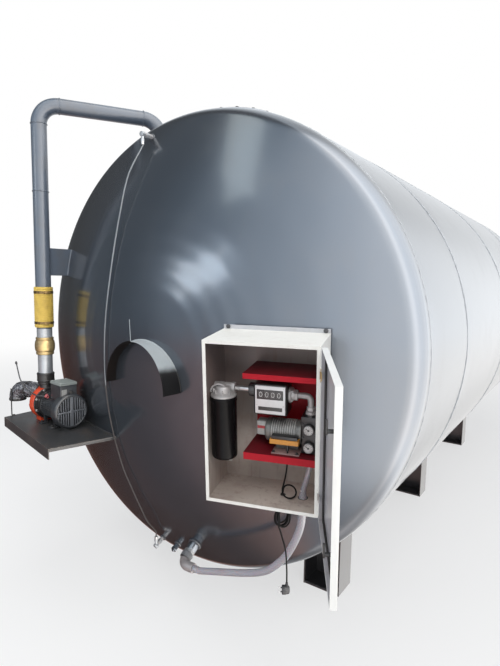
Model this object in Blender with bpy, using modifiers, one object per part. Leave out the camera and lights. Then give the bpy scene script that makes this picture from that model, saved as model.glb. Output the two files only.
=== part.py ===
# Horizontal steel fuel tank on channel legs, with a dispensing cabinet on its
# front head, an electric pump on a side shelf and a fill pipe over the top.
# Metres, +Z up. The tank's axis runs along Y and its front head faces -Y.

import bpy
import bmesh
import math
from math import radians
from mathutils import Matrix, Vector

# Tank
TANK_RADIUS = 1.25
AXIS_HEIGHT = 1.50
PLATE = 0.006
CROWN_RADIUS = 2.50
KNUCKLE_RADIUS = 0.12
HEAD_FLANGE = 0.03
COURSE_ENDS = (HEAD_FLANGE, 0.78, 2.28, 3.78, 4.41)
TANK_LENGTH = 4.44
ROUND_STEPS = 64
CROWN_STEPS = 6
KNUCKLE_STEPS = 4
SEAT_GAP = 0.0003

# Legs, folded from plate, with their open side to the front
LEG_ROWS = (0.54, 2.22, 3.90)
LEG_INNER = 0.456
LEG_OUTER = 0.692
LEG_DEPTH = 0.17
LEG_PLATE = 0.008
FOOT_PLATE = 0.010

# Manhole on the first course
MANHOLE_Y = 0.33
MANHOLE_RADIUS = 0.20
MANHOLE_HEIGHT = 0.024
MANHOLE_FLANGE_RADIUS = 0.25
MANHOLE_FLANGE_PLATE = 0.012

# Fill pipe: DN 80
PIPE_RADIUS = 0.0445
RISER_X = -0.951
RISER_Y = -0.357
RUN_HEIGHT = AXIS_HEIGHT + 1.362
RUN_DIRECTION = Vector((0.53, 0.848, 0.0)).normalized()
RUN_LENGTH = 0.724
BEND_RADIUS = 0.115
RISER_STACK = {
    "pump_outlet": -0.2855,
    "coupling_top": -0.230,
    "nipple_top": -0.117,
    "brass_top": -0.011,
    "sleeve_low": 0.051,
    "sleeve_top": 0.295,
}

PIPE_BRACKET_LOW = 0.365
PIPE_BRACKET_HIGH = 0.531
PIPE_BRACKET_HALF = 0.005

# Half round hood on the front head, with a thin rod standing on its rim
HOOD_CENTRE = Vector((-0.035, -0.470, AXIS_HEIGHT - 0.184))
HOOD_TURN = -0.11
HOOD_RADIUS = 0.237
HOOD_PLATE = 0.004
HOOD_DEPTH = 0.22
ROD_RADIUS = 0.002
ROD_HEIGHT = 0.107
ROD_LEAN = -0.008
ROD_ANGLE = radians(95.0)

# Pump shelf, square to the dished head
SHELF_CORNER = Vector((-0.447, -0.675, AXIS_HEIGHT - 0.524))
SHELF_ANGLE = radians(-13.2)
SHELF_WIDTH = 0.757
SHELF_DEPTH = 0.43
SHELF_SPLAY = 0.028
SHELF_LEFT_SPLAY = 0.095
SHELF_PLATE = 0.005
SHELF_LIP = 0.058
SHELF_SIDE_LIP = 0.018

# Electric pump: its shaft runs from the volute to the fan cover
PUMP_CENTRE = Vector((RISER_X, RISER_Y, AXIS_HEIGHT - 0.415))
PUMP_ANGLE = radians(-8.2)
VOLUTE_RADIUS = 0.102
VOLUTE_BACK = -0.036
VOLUTE_FRONT = 0.036
ADAPTOR_FRONT = 0.080
ADAPTOR_RADIUS = 0.082
MOTOR_RADIUS = 0.078
MOTOR_FRONT = 0.265
FAN_COVER_RADIUS = 0.102
FAN_COVER_FRONT = 0.330
GRILLE_RADIUS = 0.091
ELBOW_RADIUS = 0.052
SUCTION_HEIGHT = 0.058
ELBOW_DROP = 0.076

# Dispensing cabinet: its own frame has the front top left corner as origin,
# X to the right, Y into the cabinet and Z up its front
CABINET_ORIGIN = Vector((0.5573, -0.6485, AXIS_HEIGHT + 0.1258))
CABINET_YAW = 0.3053
CABINET_PITCH = 0.0913
CABINET_WIDTH = 0.464
CABINET_HEIGHT = 0.68
CABINET_DEPTH = 0.250
SHEET = 0.002
CABINET_RIM = 0.014
MOUNT_PLATE = 0.003
MOUNT_MARGIN = 0.0175

# Cabinet door, shown open
DOOR_OPEN = radians(103.5)
DOOR_GAP = 0.005
DOOR_THICK = 0.022
DOOR_EDGE = 0.008
HINGE_X = CABINET_WIDTH + 0.004
HINGE_Y = -0.006
HINGE_HEIGHTS = (-0.105, -0.585)
KNUCKLE_LENGTH = 0.030
PIN_RADIUS = 0.003
LATCH_HEIGHTS = (-0.145, -0.530)
LATCH_INSET = 0.045
LATCH_REACH = 0.036
CAM_GAP = 0.0055
CAM_THICK = 0.006

# Cabinet contents, in the cabinet's frame
LINE_Y = 0.095
LINE_Z = -0.214
ELBOW_Z = -0.228
FILTER_X = 0.0585
FILTER_Y = 0.074
FILTER_RADIUS = 0.055
FILTER_LOW = -0.514
METER_LOW = Vector((0.190, 0.060, -0.305))
METER_HIGH = Vector((0.326, 0.150, -0.178))
BRACKET_LEFT = 0.150
BRACKET_RIGHT = 0.455
BRACKET_FRONT = 0.045
BRACKET_TOP = -0.135
BRACKET_FLOOR = -0.465
BRACKET_PLATE = 0.003
PUMP_PORT_X = 0.412
PUMP_PORT_Y = 0.120
CORD_GLAND_X = 0.327
CORD_GLAND_Y = 0.070
CORD_HOLE = Vector((0.295, 0.131))
HOSE_HOLE = Vector((0.380, 0.130))

# Hoses and cord
HOSE_RADIUS = 0.017
CORD_RADIUS = 0.0035
GAUGE_RADIUS = 0.008
OUTLET_X = 0.098
OUTLET_RISE = -1.090
OUTLET_RADIUS = 0.030

# What hangs free isn't counted when the model is centred on its origin
CORD_PIECES = ("suction_hose", "power_cord_upper", "power_cord_lower", "cord_bundle", "power_plug")

COLLECTION_NAME = "storage_tank"

for old in list(bpy.data.objects):
    bpy.data.objects.remove(old, do_unlink=True)

parts = bpy.data.collections.new(COLLECTION_NAME)
guides = bpy.data.collections.new("cutters")
bpy.context.scene.collection.children.link(parts)
bpy.context.scene.collection.children.link(guides)


def make_material(name, colour, roughness, metallic):
    material = bpy.data.materials.new(name)
    material.use_nodes = True
    shader = material.node_tree.nodes["Principled BSDF"]
    shader.inputs["Base Color"].default_value = (*colour, 1.0)
    shader.inputs["Roughness"].default_value = roughness
    shader.inputs["Metallic"].default_value = metallic
    return material


def empty(name, location, rotation=None, parent=None):
    guide = bpy.data.objects.new(name, None)
    guides.objects.link(guide)
    guide.parent = parent
    guide.location = location
    if rotation is not None:
        guide.rotation_mode = "QUATERNION"
        guide.rotation_quaternion = rotation.to_quaternion()
    return guide


def add_object(name, mesh, parent, material=None):
    body = bpy.data.objects.new(name, mesh)
    body.parent = parent
    if material is None:
        guides.objects.link(body)
        body.hide_render = True
        body.display_type = "WIRE"
    else:
        parts.objects.link(body)
        mesh.materials.append(make_material(name, *material))
    return body


def smooth(body, angle=35.0):
    body.data.shade_smooth()
    body.data.set_sharp_from_angle(angle=radians(angle))
    return body


def box(name, low, high, parent, material=None):
    low = Vector(low)
    high = Vector(high)
    mesh = bpy.data.meshes.new(name)
    shape = bmesh.new()
    bmesh.ops.create_cube(shape, size=1.0)
    bmesh.ops.scale(shape, vec=high - low, verts=shape.verts)
    shape.to_mesh(mesh)
    shape.free()
    body = add_object(name, mesh, parent, material)
    body.location = (low + high) / 2
    return body


def cylinder(name, start, end, radius, parent, material=None, steps=32, end_radius=None):
    start = Vector(start)
    end = Vector(end)
    mesh = bpy.data.meshes.new(name)
    shape = bmesh.new()
    bmesh.ops.create_cone(shape, cap_ends=True, segments=steps, radius1=radius,
                          radius2=radius if end_radius is None else end_radius,
                          depth=(end - start).length)
    shape.to_mesh(mesh)
    shape.free()
    body = add_object(name, mesh, parent, material)
    body.location = (start + end) / 2
    body.rotation_mode = "QUATERNION"
    body.rotation_quaternion = (end - start).to_track_quat("Z", "Y")
    return smooth(body)


def turned(name, profile, parent, material=None, steps=ROUND_STEPS, closed=True):
    mesh = bpy.data.meshes.new(name)
    count = len(profile)
    edges = [(i, i + 1) for i in range(count - 1)]
    if closed:
        edges.append((count - 1, 0))
    mesh.from_pydata([(r, 0.0, z) for r, z in profile], edges, [])
    body = add_object(name, mesh, parent, material)
    screw = body.modifiers.new("turn", "SCREW")
    screw.steps = steps
    screw.render_steps = steps
    screw.use_merge_vertices = True
    screw.merge_threshold = 0.00001
    screw.use_smooth_shade = True
    return body


def boolean(body, other, operation):
    step = body.modifiers.new(other.name, "BOOLEAN")
    step.operation = operation
    step.object = other
    step.solver = "EXACT"
    return body


def cut(body, *cutters):
    for cutter in cutters:
        boolean(body, cutter, "DIFFERENCE")
    return body


def fuse(body, *others):
    for other in others:
        boolean(body, other, "UNION")
    return body


def curve_object(name, points, radius, parent, material, sides=3):
    curve = bpy.data.curves.new(name, "CURVE")
    curve.dimensions = "3D"
    curve.bevel_depth = radius
    curve.bevel_resolution = sides
    curve.use_fill_caps = True
    spline = curve.splines.new("POLY")
    spline.points.add(len(points) - 1)
    for place, point in zip(spline.points, points):
        place.co = (*point, 1.0)
    spline.use_smooth = True
    body = bpy.data.objects.new(name, curve)
    body.parent = parent
    if material is None:
        guides.objects.link(body)
    else:
        parts.objects.link(body)
        curve.materials.append(make_material(name, *material))
    return body


def as_mesh(body, material=None):
    """Turn a curve object into a mesh object with welded caps."""
    bpy.context.view_layer.update()
    graph = bpy.context.evaluated_depsgraph_get()
    mesh = bpy.data.meshes.new_from_object(body.evaluated_get(graph))
    name = body.name
    parent = body.parent
    place = body.matrix_world.copy()
    data = body.data
    bpy.data.objects.remove(body, do_unlink=True)
    bpy.data.curves.remove(data)
    shape = bmesh.new()
    shape.from_mesh(mesh)
    bmesh.ops.remove_doubles(shape, verts=shape.verts, dist=0.00001)
    shape.to_mesh(mesh)
    shape.free()
    mesh.materials.clear()
    mesh.name = name
    solid = add_object(name, mesh, None, material)
    solid.name = name
    solid.parent = parent
    bpy.context.view_layer.update()
    solid.matrix_world = place
    return smooth(solid)


def pipe(name, points, radius, parent, material=None, sides=6):
    return as_mesh(curve_object(name, points, radius, parent, None, sides), material)


def plate_outline(name, points, thickness, parent, material=None):
    """A flat outline in the object's own XY plane, centred on it."""
    curve = bpy.data.curves.new(name, "CURVE")
    curve.dimensions = "2D"
    curve.fill_mode = "BOTH"
    curve.extrude = thickness / 2
    spline = curve.splines.new("POLY")
    spline.points.add(len(points) - 1)
    for place, point in zip(spline.points, points):
        place.co = (point[0], point[1], 0.0, 1.0)
    spline.use_cyclic_u = True
    body = bpy.data.objects.new(name, curve)
    guides.objects.link(body)
    body.parent = parent
    return as_mesh(body, material)


def bent_sheet(name, line, width, thickness, parent, material=None):
    """A sheet folded along line, which is (y, z) pairs, and width long in X."""
    mesh = bpy.data.meshes.new(name)
    shape = bmesh.new()
    verts = [shape.verts.new((0.0, y, z)) for y, z in line]
    edges = [shape.edges.new(pair) for pair in zip(verts, verts[1:])]
    grown = bmesh.ops.extrude_edge_only(shape, edges=edges)
    moved = [item for item in grown["geom"] if isinstance(item, bmesh.types.BMVert)]
    bmesh.ops.translate(shape, verts=moved, vec=(width, 0.0, 0.0))
    shape.to_mesh(mesh)
    shape.free()
    body = add_object(name, mesh, parent, material)
    fold = body.modifiers.new("thickness", "SOLIDIFY")
    fold.thickness = thickness
    fold.offset = -1.0
    fold.use_even_offset = True
    return body


def arc_points(centre, start, end, steps):
    """Points on the quarter turn from start to end about centre, ends included."""
    a = Vector(start) - centre
    b = Vector(end) - centre
    turns = [radians(90.0) * i / steps for i in range(steps + 1)]
    return [centre + a * math.cos(turn) + b * math.sin(turn) for turn in turns]


def bend(corner, before, after, radius, steps=8):
    """A quarter bend at corner, from direction before to direction after."""
    start = corner - before * radius
    end = corner + after * radius
    return arc_points(corner - before * radius + after * radius, start, end, steps)


def smooth_route(route, spacing):
    """Points about spacing apart on one smooth curve through the route's points."""
    route = [Vector(point) for point in route]
    padded = [2 * route[0] - route[1]] + route + [2 * route[-1] - route[-2]]
    fine = []
    for i in range(1, len(padded) - 2):
        p0, p1, p2, p3 = padded[i - 1:i + 3]
        for k in range(24):
            t = k / 24
            fine.append(0.5 * (2 * p1 + (p2 - p0) * t
                               + (2 * p0 - 5 * p1 + 4 * p2 - p3) * t * t
                               + (3 * p1 - p0 - 3 * p2 + p3) * t * t * t))
    fine.append(route[-1])
    length = sum((b - a).length for a, b in zip(fine, fine[1:]))
    count = max(2, round(length / spacing))
    step = length / count
    points = [fine[0]]
    walked = 0.0
    for a, b in zip(fine, fine[1:]):
        span = (b - a).length
        while len(points) < count and walked + span >= step * len(points):
            share = (step * len(points) - walked) / span
            points.append(a.lerp(b, share))
        walked += span
    points.append(fine[-1])
    return points


def head_profile(offset=0.0):
    """The outer line of a dished head, from the middle of its crown to its edge."""
    knuckle_centre = TANK_RADIUS - KNUCKLE_RADIUS
    crown = CROWN_RADIUS + offset
    knuckle = KNUCKLE_RADIUS + offset
    crown_angle = math.asin(knuckle_centre / (CROWN_RADIUS - KNUCKLE_RADIUS))
    crown_base = -math.sqrt((CROWN_RADIUS - KNUCKLE_RADIUS) ** 2 - knuckle_centre ** 2)
    line = []
    for i in range(CROWN_STEPS + 1):
        angle = crown_angle * i / CROWN_STEPS
        line.append((crown * math.sin(angle), crown_base + crown * math.cos(angle)))
    for i in range(1, KNUCKLE_STEPS + 1):
        angle = crown_angle + (math.pi / 2 - crown_angle) * i / KNUCKLE_STEPS
        line.append((knuckle_centre + knuckle * math.sin(angle), knuckle * math.cos(angle)))
    return line


def head_front(x, z):
    """Y of the front head's outer face at a place seen from the front."""
    reach = math.hypot(x, z - AXIS_HEIGHT)
    line = head_profile()
    for (r0, h0), (r1, h1) in zip(line, line[1:]):
        if r0 <= reach <= r1:
            return -(h0 + (h1 - h0) * (reach - r0) / (r1 - r0))
    return 0.0


def on_head(x, rise, proud):
    """A point proud of the front head, at height rise above the tank's axis."""
    z = AXIS_HEIGHT + rise
    return Vector((x, head_front(x, z) - proud, z))


def head_normal(x, rise):
    """The outward normal of the front head's crown."""
    depth = math.sqrt(CROWN_RADIUS ** 2 - x ** 2 - rise ** 2)
    return Vector((x, -depth, rise)) / CROWN_RADIUS


# Colours: base colour, roughness, metallic
TANK_PAINT = ((0.085, 0.095, 0.115), 0.28, 0.25)
PIPE_PAINT = ((0.13, 0.16, 0.20), 0.40, 0.15)
DARK_STEEL = ((0.06, 0.06, 0.065), 0.50, 0.30)
CABINET_PAINT = ((0.80, 0.80, 0.78), 0.45, 0.0)
RED_PAINT = ((0.42, 0.02, 0.03), 0.40, 0.0)
BLACK_PLASTIC = ((0.015, 0.015, 0.017), 0.40, 0.0)
RUBBER = ((0.02, 0.02, 0.02), 0.70, 0.0)
BARE_METAL = ((0.55, 0.55, 0.56), 0.35, 0.9)
BRASS = ((0.66, 0.48, 0.18), 0.35, 0.9)
YELLOW = ((0.85, 0.55, 0.05), 0.55, 0.0)
ORANGE_RED = ((0.65, 0.08, 0.02), 0.45, 0.0)
ORANGE = ((0.85, 0.36, 0.06), 0.45, 0.0)
MOTOR_GREY = ((0.16, 0.17, 0.18), 0.45, 0.3)
CLEAR_HOSE = ((0.75, 0.74, 0.76), 0.25, 0.0)

frame = empty("tank_frame", (0.0, 0.0, 0.0))
bpy.context.view_layer.update()

TOWARDS_FRONT = Matrix.Rotation(radians(90.0), 4, "X")
TOWARDS_BACK = Matrix.Rotation(radians(-90.0), 4, "X")


def tank_envelope():
    """The whole tank's outside, a seat gap proud, to cut what stands on it."""
    front = [(r, TANK_LENGTH / 2 + h) for r, h in head_profile(SEAT_GAP)]
    back = [(r, -z) for r, z in reversed(front)]
    holder = empty("envelope_frame", (0.0, TANK_LENGTH / 2, AXIS_HEIGHT), TOWARDS_FRONT, frame)
    return turned("tank_envelope", front + back, holder, closed=False)


ENVELOPE = tank_envelope()


def build_heads():
    outer = head_profile()
    inner = [(r, h) for r, h in head_profile(-PLATE)]
    profile = outer + [(TANK_RADIUS, -HEAD_FLANGE + SEAT_GAP)]
    profile += [(TANK_RADIUS - PLATE, -HEAD_FLANGE + SEAT_GAP)] + inner[::-1]
    front_place = empty("front_head_place", (0.0, 0.0, AXIS_HEIGHT), TOWARDS_FRONT, frame)
    rear_place = empty("rear_head_place", (0.0, TANK_LENGTH, AXIS_HEIGHT), TOWARDS_BACK, frame)
    turned("front_head", profile, front_place, TANK_PAINT, closed=False)
    turned("rear_head", profile, rear_place, TANK_PAINT, closed=False)


def build_courses():
    place = empty("courses_place", (0.0, 0.0, AXIS_HEIGHT), TOWARDS_FRONT, frame)
    courses = []
    for number, (start, end) in enumerate(zip(COURSE_ENDS, COURSE_ENDS[1:]), 1):
        top = -start
        low = -end + SEAT_GAP
        ring = [(TANK_RADIUS, top), (TANK_RADIUS, low)]
        ring += [(TANK_RADIUS - PLATE, low), (TANK_RADIUS - PLATE, top)]
        courses.append(turned(f"shell_course_{number}", ring, place, TANK_PAINT))
    return courses


def build_manhole(first_course):
    crown = AXIS_HEIGHT + TANK_RADIUS
    top = crown + MANHOLE_HEIGHT
    well = (0.0, MANHOLE_Y)
    opening = cylinder("manhole_opening", (*well, crown - 0.15), (*well, crown + 0.05),
                       MANHOLE_RADIUS, frame, steps=40)
    cut(first_course, opening)
    flange_low = top - MANHOLE_FLANGE_PLATE
    place = empty("manhole_place", (*well, 0.0), parent=frame)
    wall = MANHOLE_RADIUS + PLATE
    outside = [(MANHOLE_FLANGE_RADIUS, top), (MANHOLE_FLANGE_RADIUS, flange_low)]
    outside += [(wall, flange_low), (wall, crown - 0.12)]
    inside = [(MANHOLE_RADIUS, crown - 0.12), (MANHOLE_RADIUS, top)]
    neck = turned("manhole_neck", outside + inside, place, TANK_PAINT, steps=40)
    cut(neck, ENVELOPE)
    lid_low = top + SEAT_GAP
    lid_top = lid_low + MANHOLE_FLANGE_PLATE
    lid = [(0.0, lid_top), (MANHOLE_FLANGE_RADIUS, lid_top), (MANHOLE_FLANGE_RADIUS, lid_low)]
    turned("manhole_lid", lid + [(0.0, lid_low)], place, TANK_PAINT, steps=40, closed=False)


def build_leg(row, side, y):
    """One folded channel leg, its web at the back, closed at its foot."""
    half = (LEG_OUTER - LEG_INNER) / 2
    front = -LEG_DEPTH / 2
    back = LEG_DEPTH / 2
    outline = [(-half, front), (-half, back), (half, back), (half, front)]
    outline += [(half - LEG_PLATE, front), (half - LEG_PLATE, back - LEG_PLATE)]
    outline += [(LEG_PLATE - half, back - LEG_PLATE), (LEG_PLATE - half, front)]
    height = AXIS_HEIGHT
    name = f"leg_{row}_{'right' if side > 0 else 'left'}"
    x = side * (LEG_INNER + LEG_OUTER) / 2
    leg = plate_outline(name, outline, height, frame, DARK_STEEL)
    leg.location = (x, y, height / 2)
    inside = LEG_PLATE / 2
    foot = box(name + "_foot", (x - half + inside, y + front + inside, 0.0),
               (x + half - inside, y + back - inside, FOOT_PLATE), frame)
    fuse(leg, foot)
    cut(leg, ENVELOPE)
    return leg


def build_fill_pipe():
    base = AXIS_HEIGHT + RISER_STACK["brass_top"] + SEAT_GAP
    up = Vector((0.0, 0.0, 1.0))
    top_corner = Vector((RISER_X, RISER_Y, RUN_HEIGHT))
    far_corner = top_corner + RUN_DIRECTION * RUN_LENGTH
    points = [Vector((RISER_X, RISER_Y, base))]
    points += bend(top_corner, up, RUN_DIRECTION, BEND_RADIUS)
    points += bend(far_corner, RUN_DIRECTION, -up, BEND_RADIUS)
    points.append(far_corner - up * 0.60)
    tube = pipe("fill_pipe", points, PIPE_RADIUS, frame, PIPE_PAINT)
    return cut(tube, ENVELOPE)


def build_pipe_bracket():
    """A flat plate from the riser back to the head."""
    low = AXIS_HEIGHT + PIPE_BRACKET_LOW
    high = AXIS_HEIGHT + PIPE_BRACKET_HIGH
    half = PIPE_BRACKET_HALF
    plate = box("pipe_bracket", (RISER_X - half, RISER_Y + PIPE_RADIUS * 0.5, low),
                (RISER_X + half, 0.15, high), frame, PIPE_PAINT)
    clearance = cylinder("riser_clearance", (RISER_X, RISER_Y, low - 0.05),
                         (RISER_X, RISER_Y, high + 0.05), PIPE_RADIUS + SEAT_GAP, frame, steps=32)
    cut(plate, clearance, ENVELOPE)


def build_riser():
    def height(level):
        return AXIS_HEIGHT + RISER_STACK[level]

    place = empty("riser_place", (RISER_X, RISER_Y, 0.0), parent=frame)
    coupling_low = height("pump_outlet") + SEAT_GAP
    coupling_top = height("coupling_top")
    nipple_top = height("nipple_top")
    riser = [(0.0, nipple_top), (0.0424, nipple_top), (0.0424, coupling_top)]
    riser += [(0.050, coupling_top), (0.050, coupling_low), (0.0, coupling_low)]
    turned("riser_nipple", riser, place, MOTOR_GREY, steps=40, closed=False)
    brass_low = nipple_top + SEAT_GAP
    brass_top = height("brass_top")
    middle = (brass_low + brass_top) / 2
    brass = [(0.0, brass_top), (0.052, brass_top), (0.052, middle + 0.012)]
    brass += [(0.058, middle + 0.012), (0.058, middle - 0.012)]
    brass += [(0.052, middle - 0.012), (0.052, brass_low), (0.0, brass_low)]
    turned("brass_coupling", brass, place, BRASS, steps=40, closed=False)
    sleeve_low = height("sleeve_low")
    sleeve_top = height("sleeve_top")
    inner = PIPE_RADIUS + SEAT_GAP
    sleeve = [(0.056, sleeve_top), (0.056, sleeve_low), (inner, sleeve_low), (inner, sleeve_top)]
    turned("hose_sleeve", sleeve, place, YELLOW, steps=40)


def build_shelf():
    turn = Matrix.Rotation(SHELF_ANGLE, 4, "Z")
    place = empty("shelf_place", SHELF_CORNER, turn, frame)
    outline = [(-SHELF_WIDTH, 0.0), (0.0, 0.0), (SHELF_SPLAY, SHELF_DEPTH),
               (-SHELF_WIDTH - SHELF_LEFT_SPLAY, SHELF_DEPTH)]
    top = plate_outline("pump_shelf", outline, SHELF_PLATE, place, DARK_STEEL)
    top.location.z = -SHELF_PLATE / 2
    inset = SHELF_PLATE
    lip = box("shelf_lip", (-SHELF_WIDTH, 0.0, -SHELF_LIP), (0.0, inset, -0.001), place)
    edge = [(-inset, 0.001), (-0.0002, 0.001), (SHELF_SPLAY - 0.0002, SHELF_DEPTH),
            (SHELF_SPLAY - inset, SHELF_DEPTH)]
    right = plate_outline("shelf_right_lip", edge, SHELF_SIDE_LIP - 0.001, place)
    right.location.z = -(SHELF_SIDE_LIP + 0.001) / 2
    edge = [(0.0002 - SHELF_WIDTH, 0.001), (inset - SHELF_WIDTH, 0.001),
            (inset - SHELF_WIDTH - SHELF_LEFT_SPLAY, SHELF_DEPTH),
            (0.0002 - SHELF_WIDTH - SHELF_LEFT_SPLAY, SHELF_DEPTH)]
    left = plate_outline("shelf_left_lip", edge, SHELF_SIDE_LIP - 0.001, place)
    left.location.z = -(SHELF_SIDE_LIP + 0.001) / 2
    fuse(top, lip, right, left)
    cut(top, ENVELOPE)


def build_pump():
    turn = Matrix.Rotation(PUMP_ANGLE, 4, "Z")
    place = empty("pump_place", PUMP_CENTRE, turn, frame)
    floor = SHELF_CORNER.z - PUMP_CENTRE.z + SEAT_GAP
    outlet = empty("outlet_place", (RISER_X, RISER_Y, 0.0), parent=frame)

    volute = cylinder("pump_volute", (VOLUTE_BACK, 0.0, 0.0), (VOLUTE_FRONT, 0.0, 0.0),
                      VOLUTE_RADIUS, place, ORANGE_RED, steps=48)
    neck_top = AXIS_HEIGHT + RISER_STACK["pump_outlet"]
    neck = cylinder("volute_neck", (0.0, 0.0, PUMP_CENTRE.z), (0.0, 0.0, neck_top),
                    0.036, outlet, steps=32)
    foot = box("volute_foot", (VOLUTE_BACK + 0.004, -0.055, floor),
               (VOLUTE_FRONT - 0.004, 0.055, -0.05), place)
    suction = Vector((VOLUTE_BACK - 0.014, 0.0, SUCTION_HEIGHT))
    boss = cylinder("volute_boss", suction, suction + Vector((0.034, 0.0, 0.0)), 0.040, place,
                    steps=32)
    fuse(volute, neck, foot, boss)

    adaptor = VOLUTE_FRONT + SEAT_GAP
    motor = cylinder("pump_motor", (adaptor, 0.0, 0.0), (MOTOR_FRONT, 0.0, 0.0),
                     MOTOR_RADIUS, place, MOTOR_GREY, steps=40)
    ring = cylinder("motor_adaptor", (adaptor, 0.0, 0.0), (ADAPTOR_FRONT, 0.0, 0.0),
                    ADAPTOR_RADIUS, place, steps=40)
    terminal = box("terminal_box", (0.175, -0.055, 0.055), (0.305, 0.048, 0.168), place)
    trim = box("terminal_trim", (MOTOR_FRONT - 0.001, -0.1, 0.0),
               (0.34, 0.1, FAN_COVER_RADIUS + 0.002), place)
    cut(terminal, trim)
    feet = box("motor_feet", (0.060, -0.082, floor), (0.240, 0.082, floor + 0.012), place)
    web = box("motor_web", (0.080, -0.045, floor + 0.002), (0.225, 0.045, -0.03), place)
    fuse(motor, ring, terminal, feet, web)

    cover_back = MOTOR_FRONT + SEAT_GAP
    cover_place = empty("fan_cover_place", (0.0, 0.0, 0.0),
                        Matrix.Rotation(radians(90.0), 4, "Y"), place)
    cover = [(0.0, FAN_COVER_FRONT), (GRILLE_RADIUS, FAN_COVER_FRONT - 0.001)]
    cover += [(GRILLE_RADIUS + 0.008, FAN_COVER_FRONT - 0.006)]
    cover += [(FAN_COVER_RADIUS, FAN_COVER_FRONT - 0.016), (FAN_COVER_RADIUS, MOTOR_FRONT + 0.008)]
    cover += [(0.088, cover_back), (0.0, cover_back)]
    turned("motor_fan_cover", cover, cover_place, MOTOR_GREY, steps=40, closed=False)

    start = suction - Vector((SEAT_GAP, 0.0, 0.0))
    down = Vector((0.0, 0.0, -1.0))
    left = Vector((-0.926, -0.378, 0.0)).normalized()
    corner = start + left * 0.206
    points = [start - left * 0.030] + bend(corner, left, down, 0.062)
    points.append(corner + down * ELBOW_DROP)
    elbow = pipe("suction_elbow", points, ELBOW_RADIUS, place, RUBBER, sides=4)
    seat_cut = box("elbow_seat_cut", (start.x, -0.15, -0.05), (start.x + 0.10, 0.15, 0.20), place)
    cut(elbow, seat_cut)
    strap_x = corner.x + 0.023
    strap_y = corner.y - 0.040
    strap = box("elbow_strap", (strap_x - 0.008, strap_y - 0.002, floor),
                (strap_x + 0.008, strap_y + 0.002, start.z - 0.030), place)
    fuse(elbow, strap)

    outward = Vector((0.0, -0.667, 0.745)).normalized()
    seat = Vector((0.139, 0.0, 0.0)) + outward * (MOTOR_RADIUS + SEAT_GAP)
    handle = [seat + outward * 0.010, (0.108, -0.076, 0.066), (0.068, -0.087, 0.062)]
    handle += [(0.012, -0.090, 0.067), (-0.041, -0.091, 0.076), (-0.092, -0.098, 0.098)]
    handle += [(-0.132, -0.103, 0.136), (-0.153, -0.106, 0.185), (-0.172, -0.109, 0.240)]
    wire = pipe("priming_wire", smooth_route(handle, 0.014), 0.0028, place, DARK_STEEL, sides=2)
    knob = cylinder("wire_knob", seat, seat + outward * 0.022, 0.012, place, steps=16)
    fuse(wire, knob)


def build_hood():
    """A half round plate standing out from the head."""
    turn = Matrix.Rotation(HOOD_TURN, 4, "Z") @ TOWARDS_FRONT
    place = empty("hood_place", HOOD_CENTRE, turn, frame)
    inner = HOOD_RADIUS - HOOD_PLATE
    ring = [(HOOD_RADIUS, 0.0), (HOOD_RADIUS, -HOOD_DEPTH), (inner, -HOOD_DEPTH), (inner, 0.0)]
    hood = turned("hose_hood", ring, place, TANK_PAINT, steps=48)
    lower = box("hood_lower_half", (-0.4, -0.8, HOOD_CENTRE.z - 0.4), (0.4, 0.2, HOOD_CENTRE.z),
                frame)
    cut(hood, lower, ENVELOPE)
    foot = Vector((math.cos(ROD_ANGLE), math.sin(ROD_ANGLE), 0.0)) * (HOOD_RADIUS - HOOD_PLATE / 2)
    foot.z = -2 * ROD_RADIUS
    rod = cylinder("hood_rod", foot, foot + Vector((ROD_LEAN, ROD_HEIGHT, 0.0)), ROD_RADIUS,
                   place, steps=12)
    fuse(hood, rod)


def build_level_gauge():
    reach = 0.072
    tail = Vector((0.0, 0.0, 0.040))
    gap = Vector((0.0, 0.0, SEAT_GAP))
    top = on_head(-0.250, 1.125, 0.0)
    top_tip = top - Vector((0.0, reach, 0.0))
    gauge_fitting("gauge_top_fitting", top, Vector((0.0, -1.0, 0.0)), reach, -tail)
    low_x, low_rise = -0.194, -1.171
    low = on_head(low_x, low_rise, 0.0)
    low_way = head_normal(low_x, low_rise)
    low_reach = 0.058
    low_tip = low + low_way * low_reach
    gauge_fitting("gauge_low_fitting", low, low_way, low_reach, tail)
    straight = Vector((0.0, 0.0, 0.045))
    upper_end = top_tip - tail - gap
    lower_end = low_tip + tail + gap
    route = [upper_end - straight]
    route += [on_head(-0.262, 0.86, 0.046), on_head(-0.262, 0.69, 0.026)]
    route += [on_head(-0.268, 0.45, 0.016), on_head(-0.300, 0.16, 0.013)]
    route += [on_head(-0.332, -0.10, 0.013), on_head(-0.340, -0.28, 0.014)]
    route += [on_head(-0.336, -0.46, 0.015), on_head(-0.313, -0.683, 0.020)]
    route += [on_head(-0.281, -0.809, 0.025), on_head(-0.247, -0.935, 0.030)]
    route += [on_head(-0.222, -1.030, 0.036), lower_end + straight]
    points = [upper_end] + smooth_route(route, 0.070) + [lower_end]
    curve_object("gauge_tube", points, GAUGE_RADIUS, frame, CLEAR_HOSE, 2)


def gauge_fitting(name, base, way, reach, tail):
    """A short stub out of the head along way, with a tail that takes the tube."""
    tip = base + way * reach
    stub = cylinder(name, base - way * 0.06, tip + way * 0.012, 0.013, frame, BARE_METAL, steps=20)
    end = cylinder(name + "_tail", tip, tip + tail, 0.011, frame, steps=20)
    fuse(stub, end)
    return cut(stub, ENVELOPE)


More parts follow.
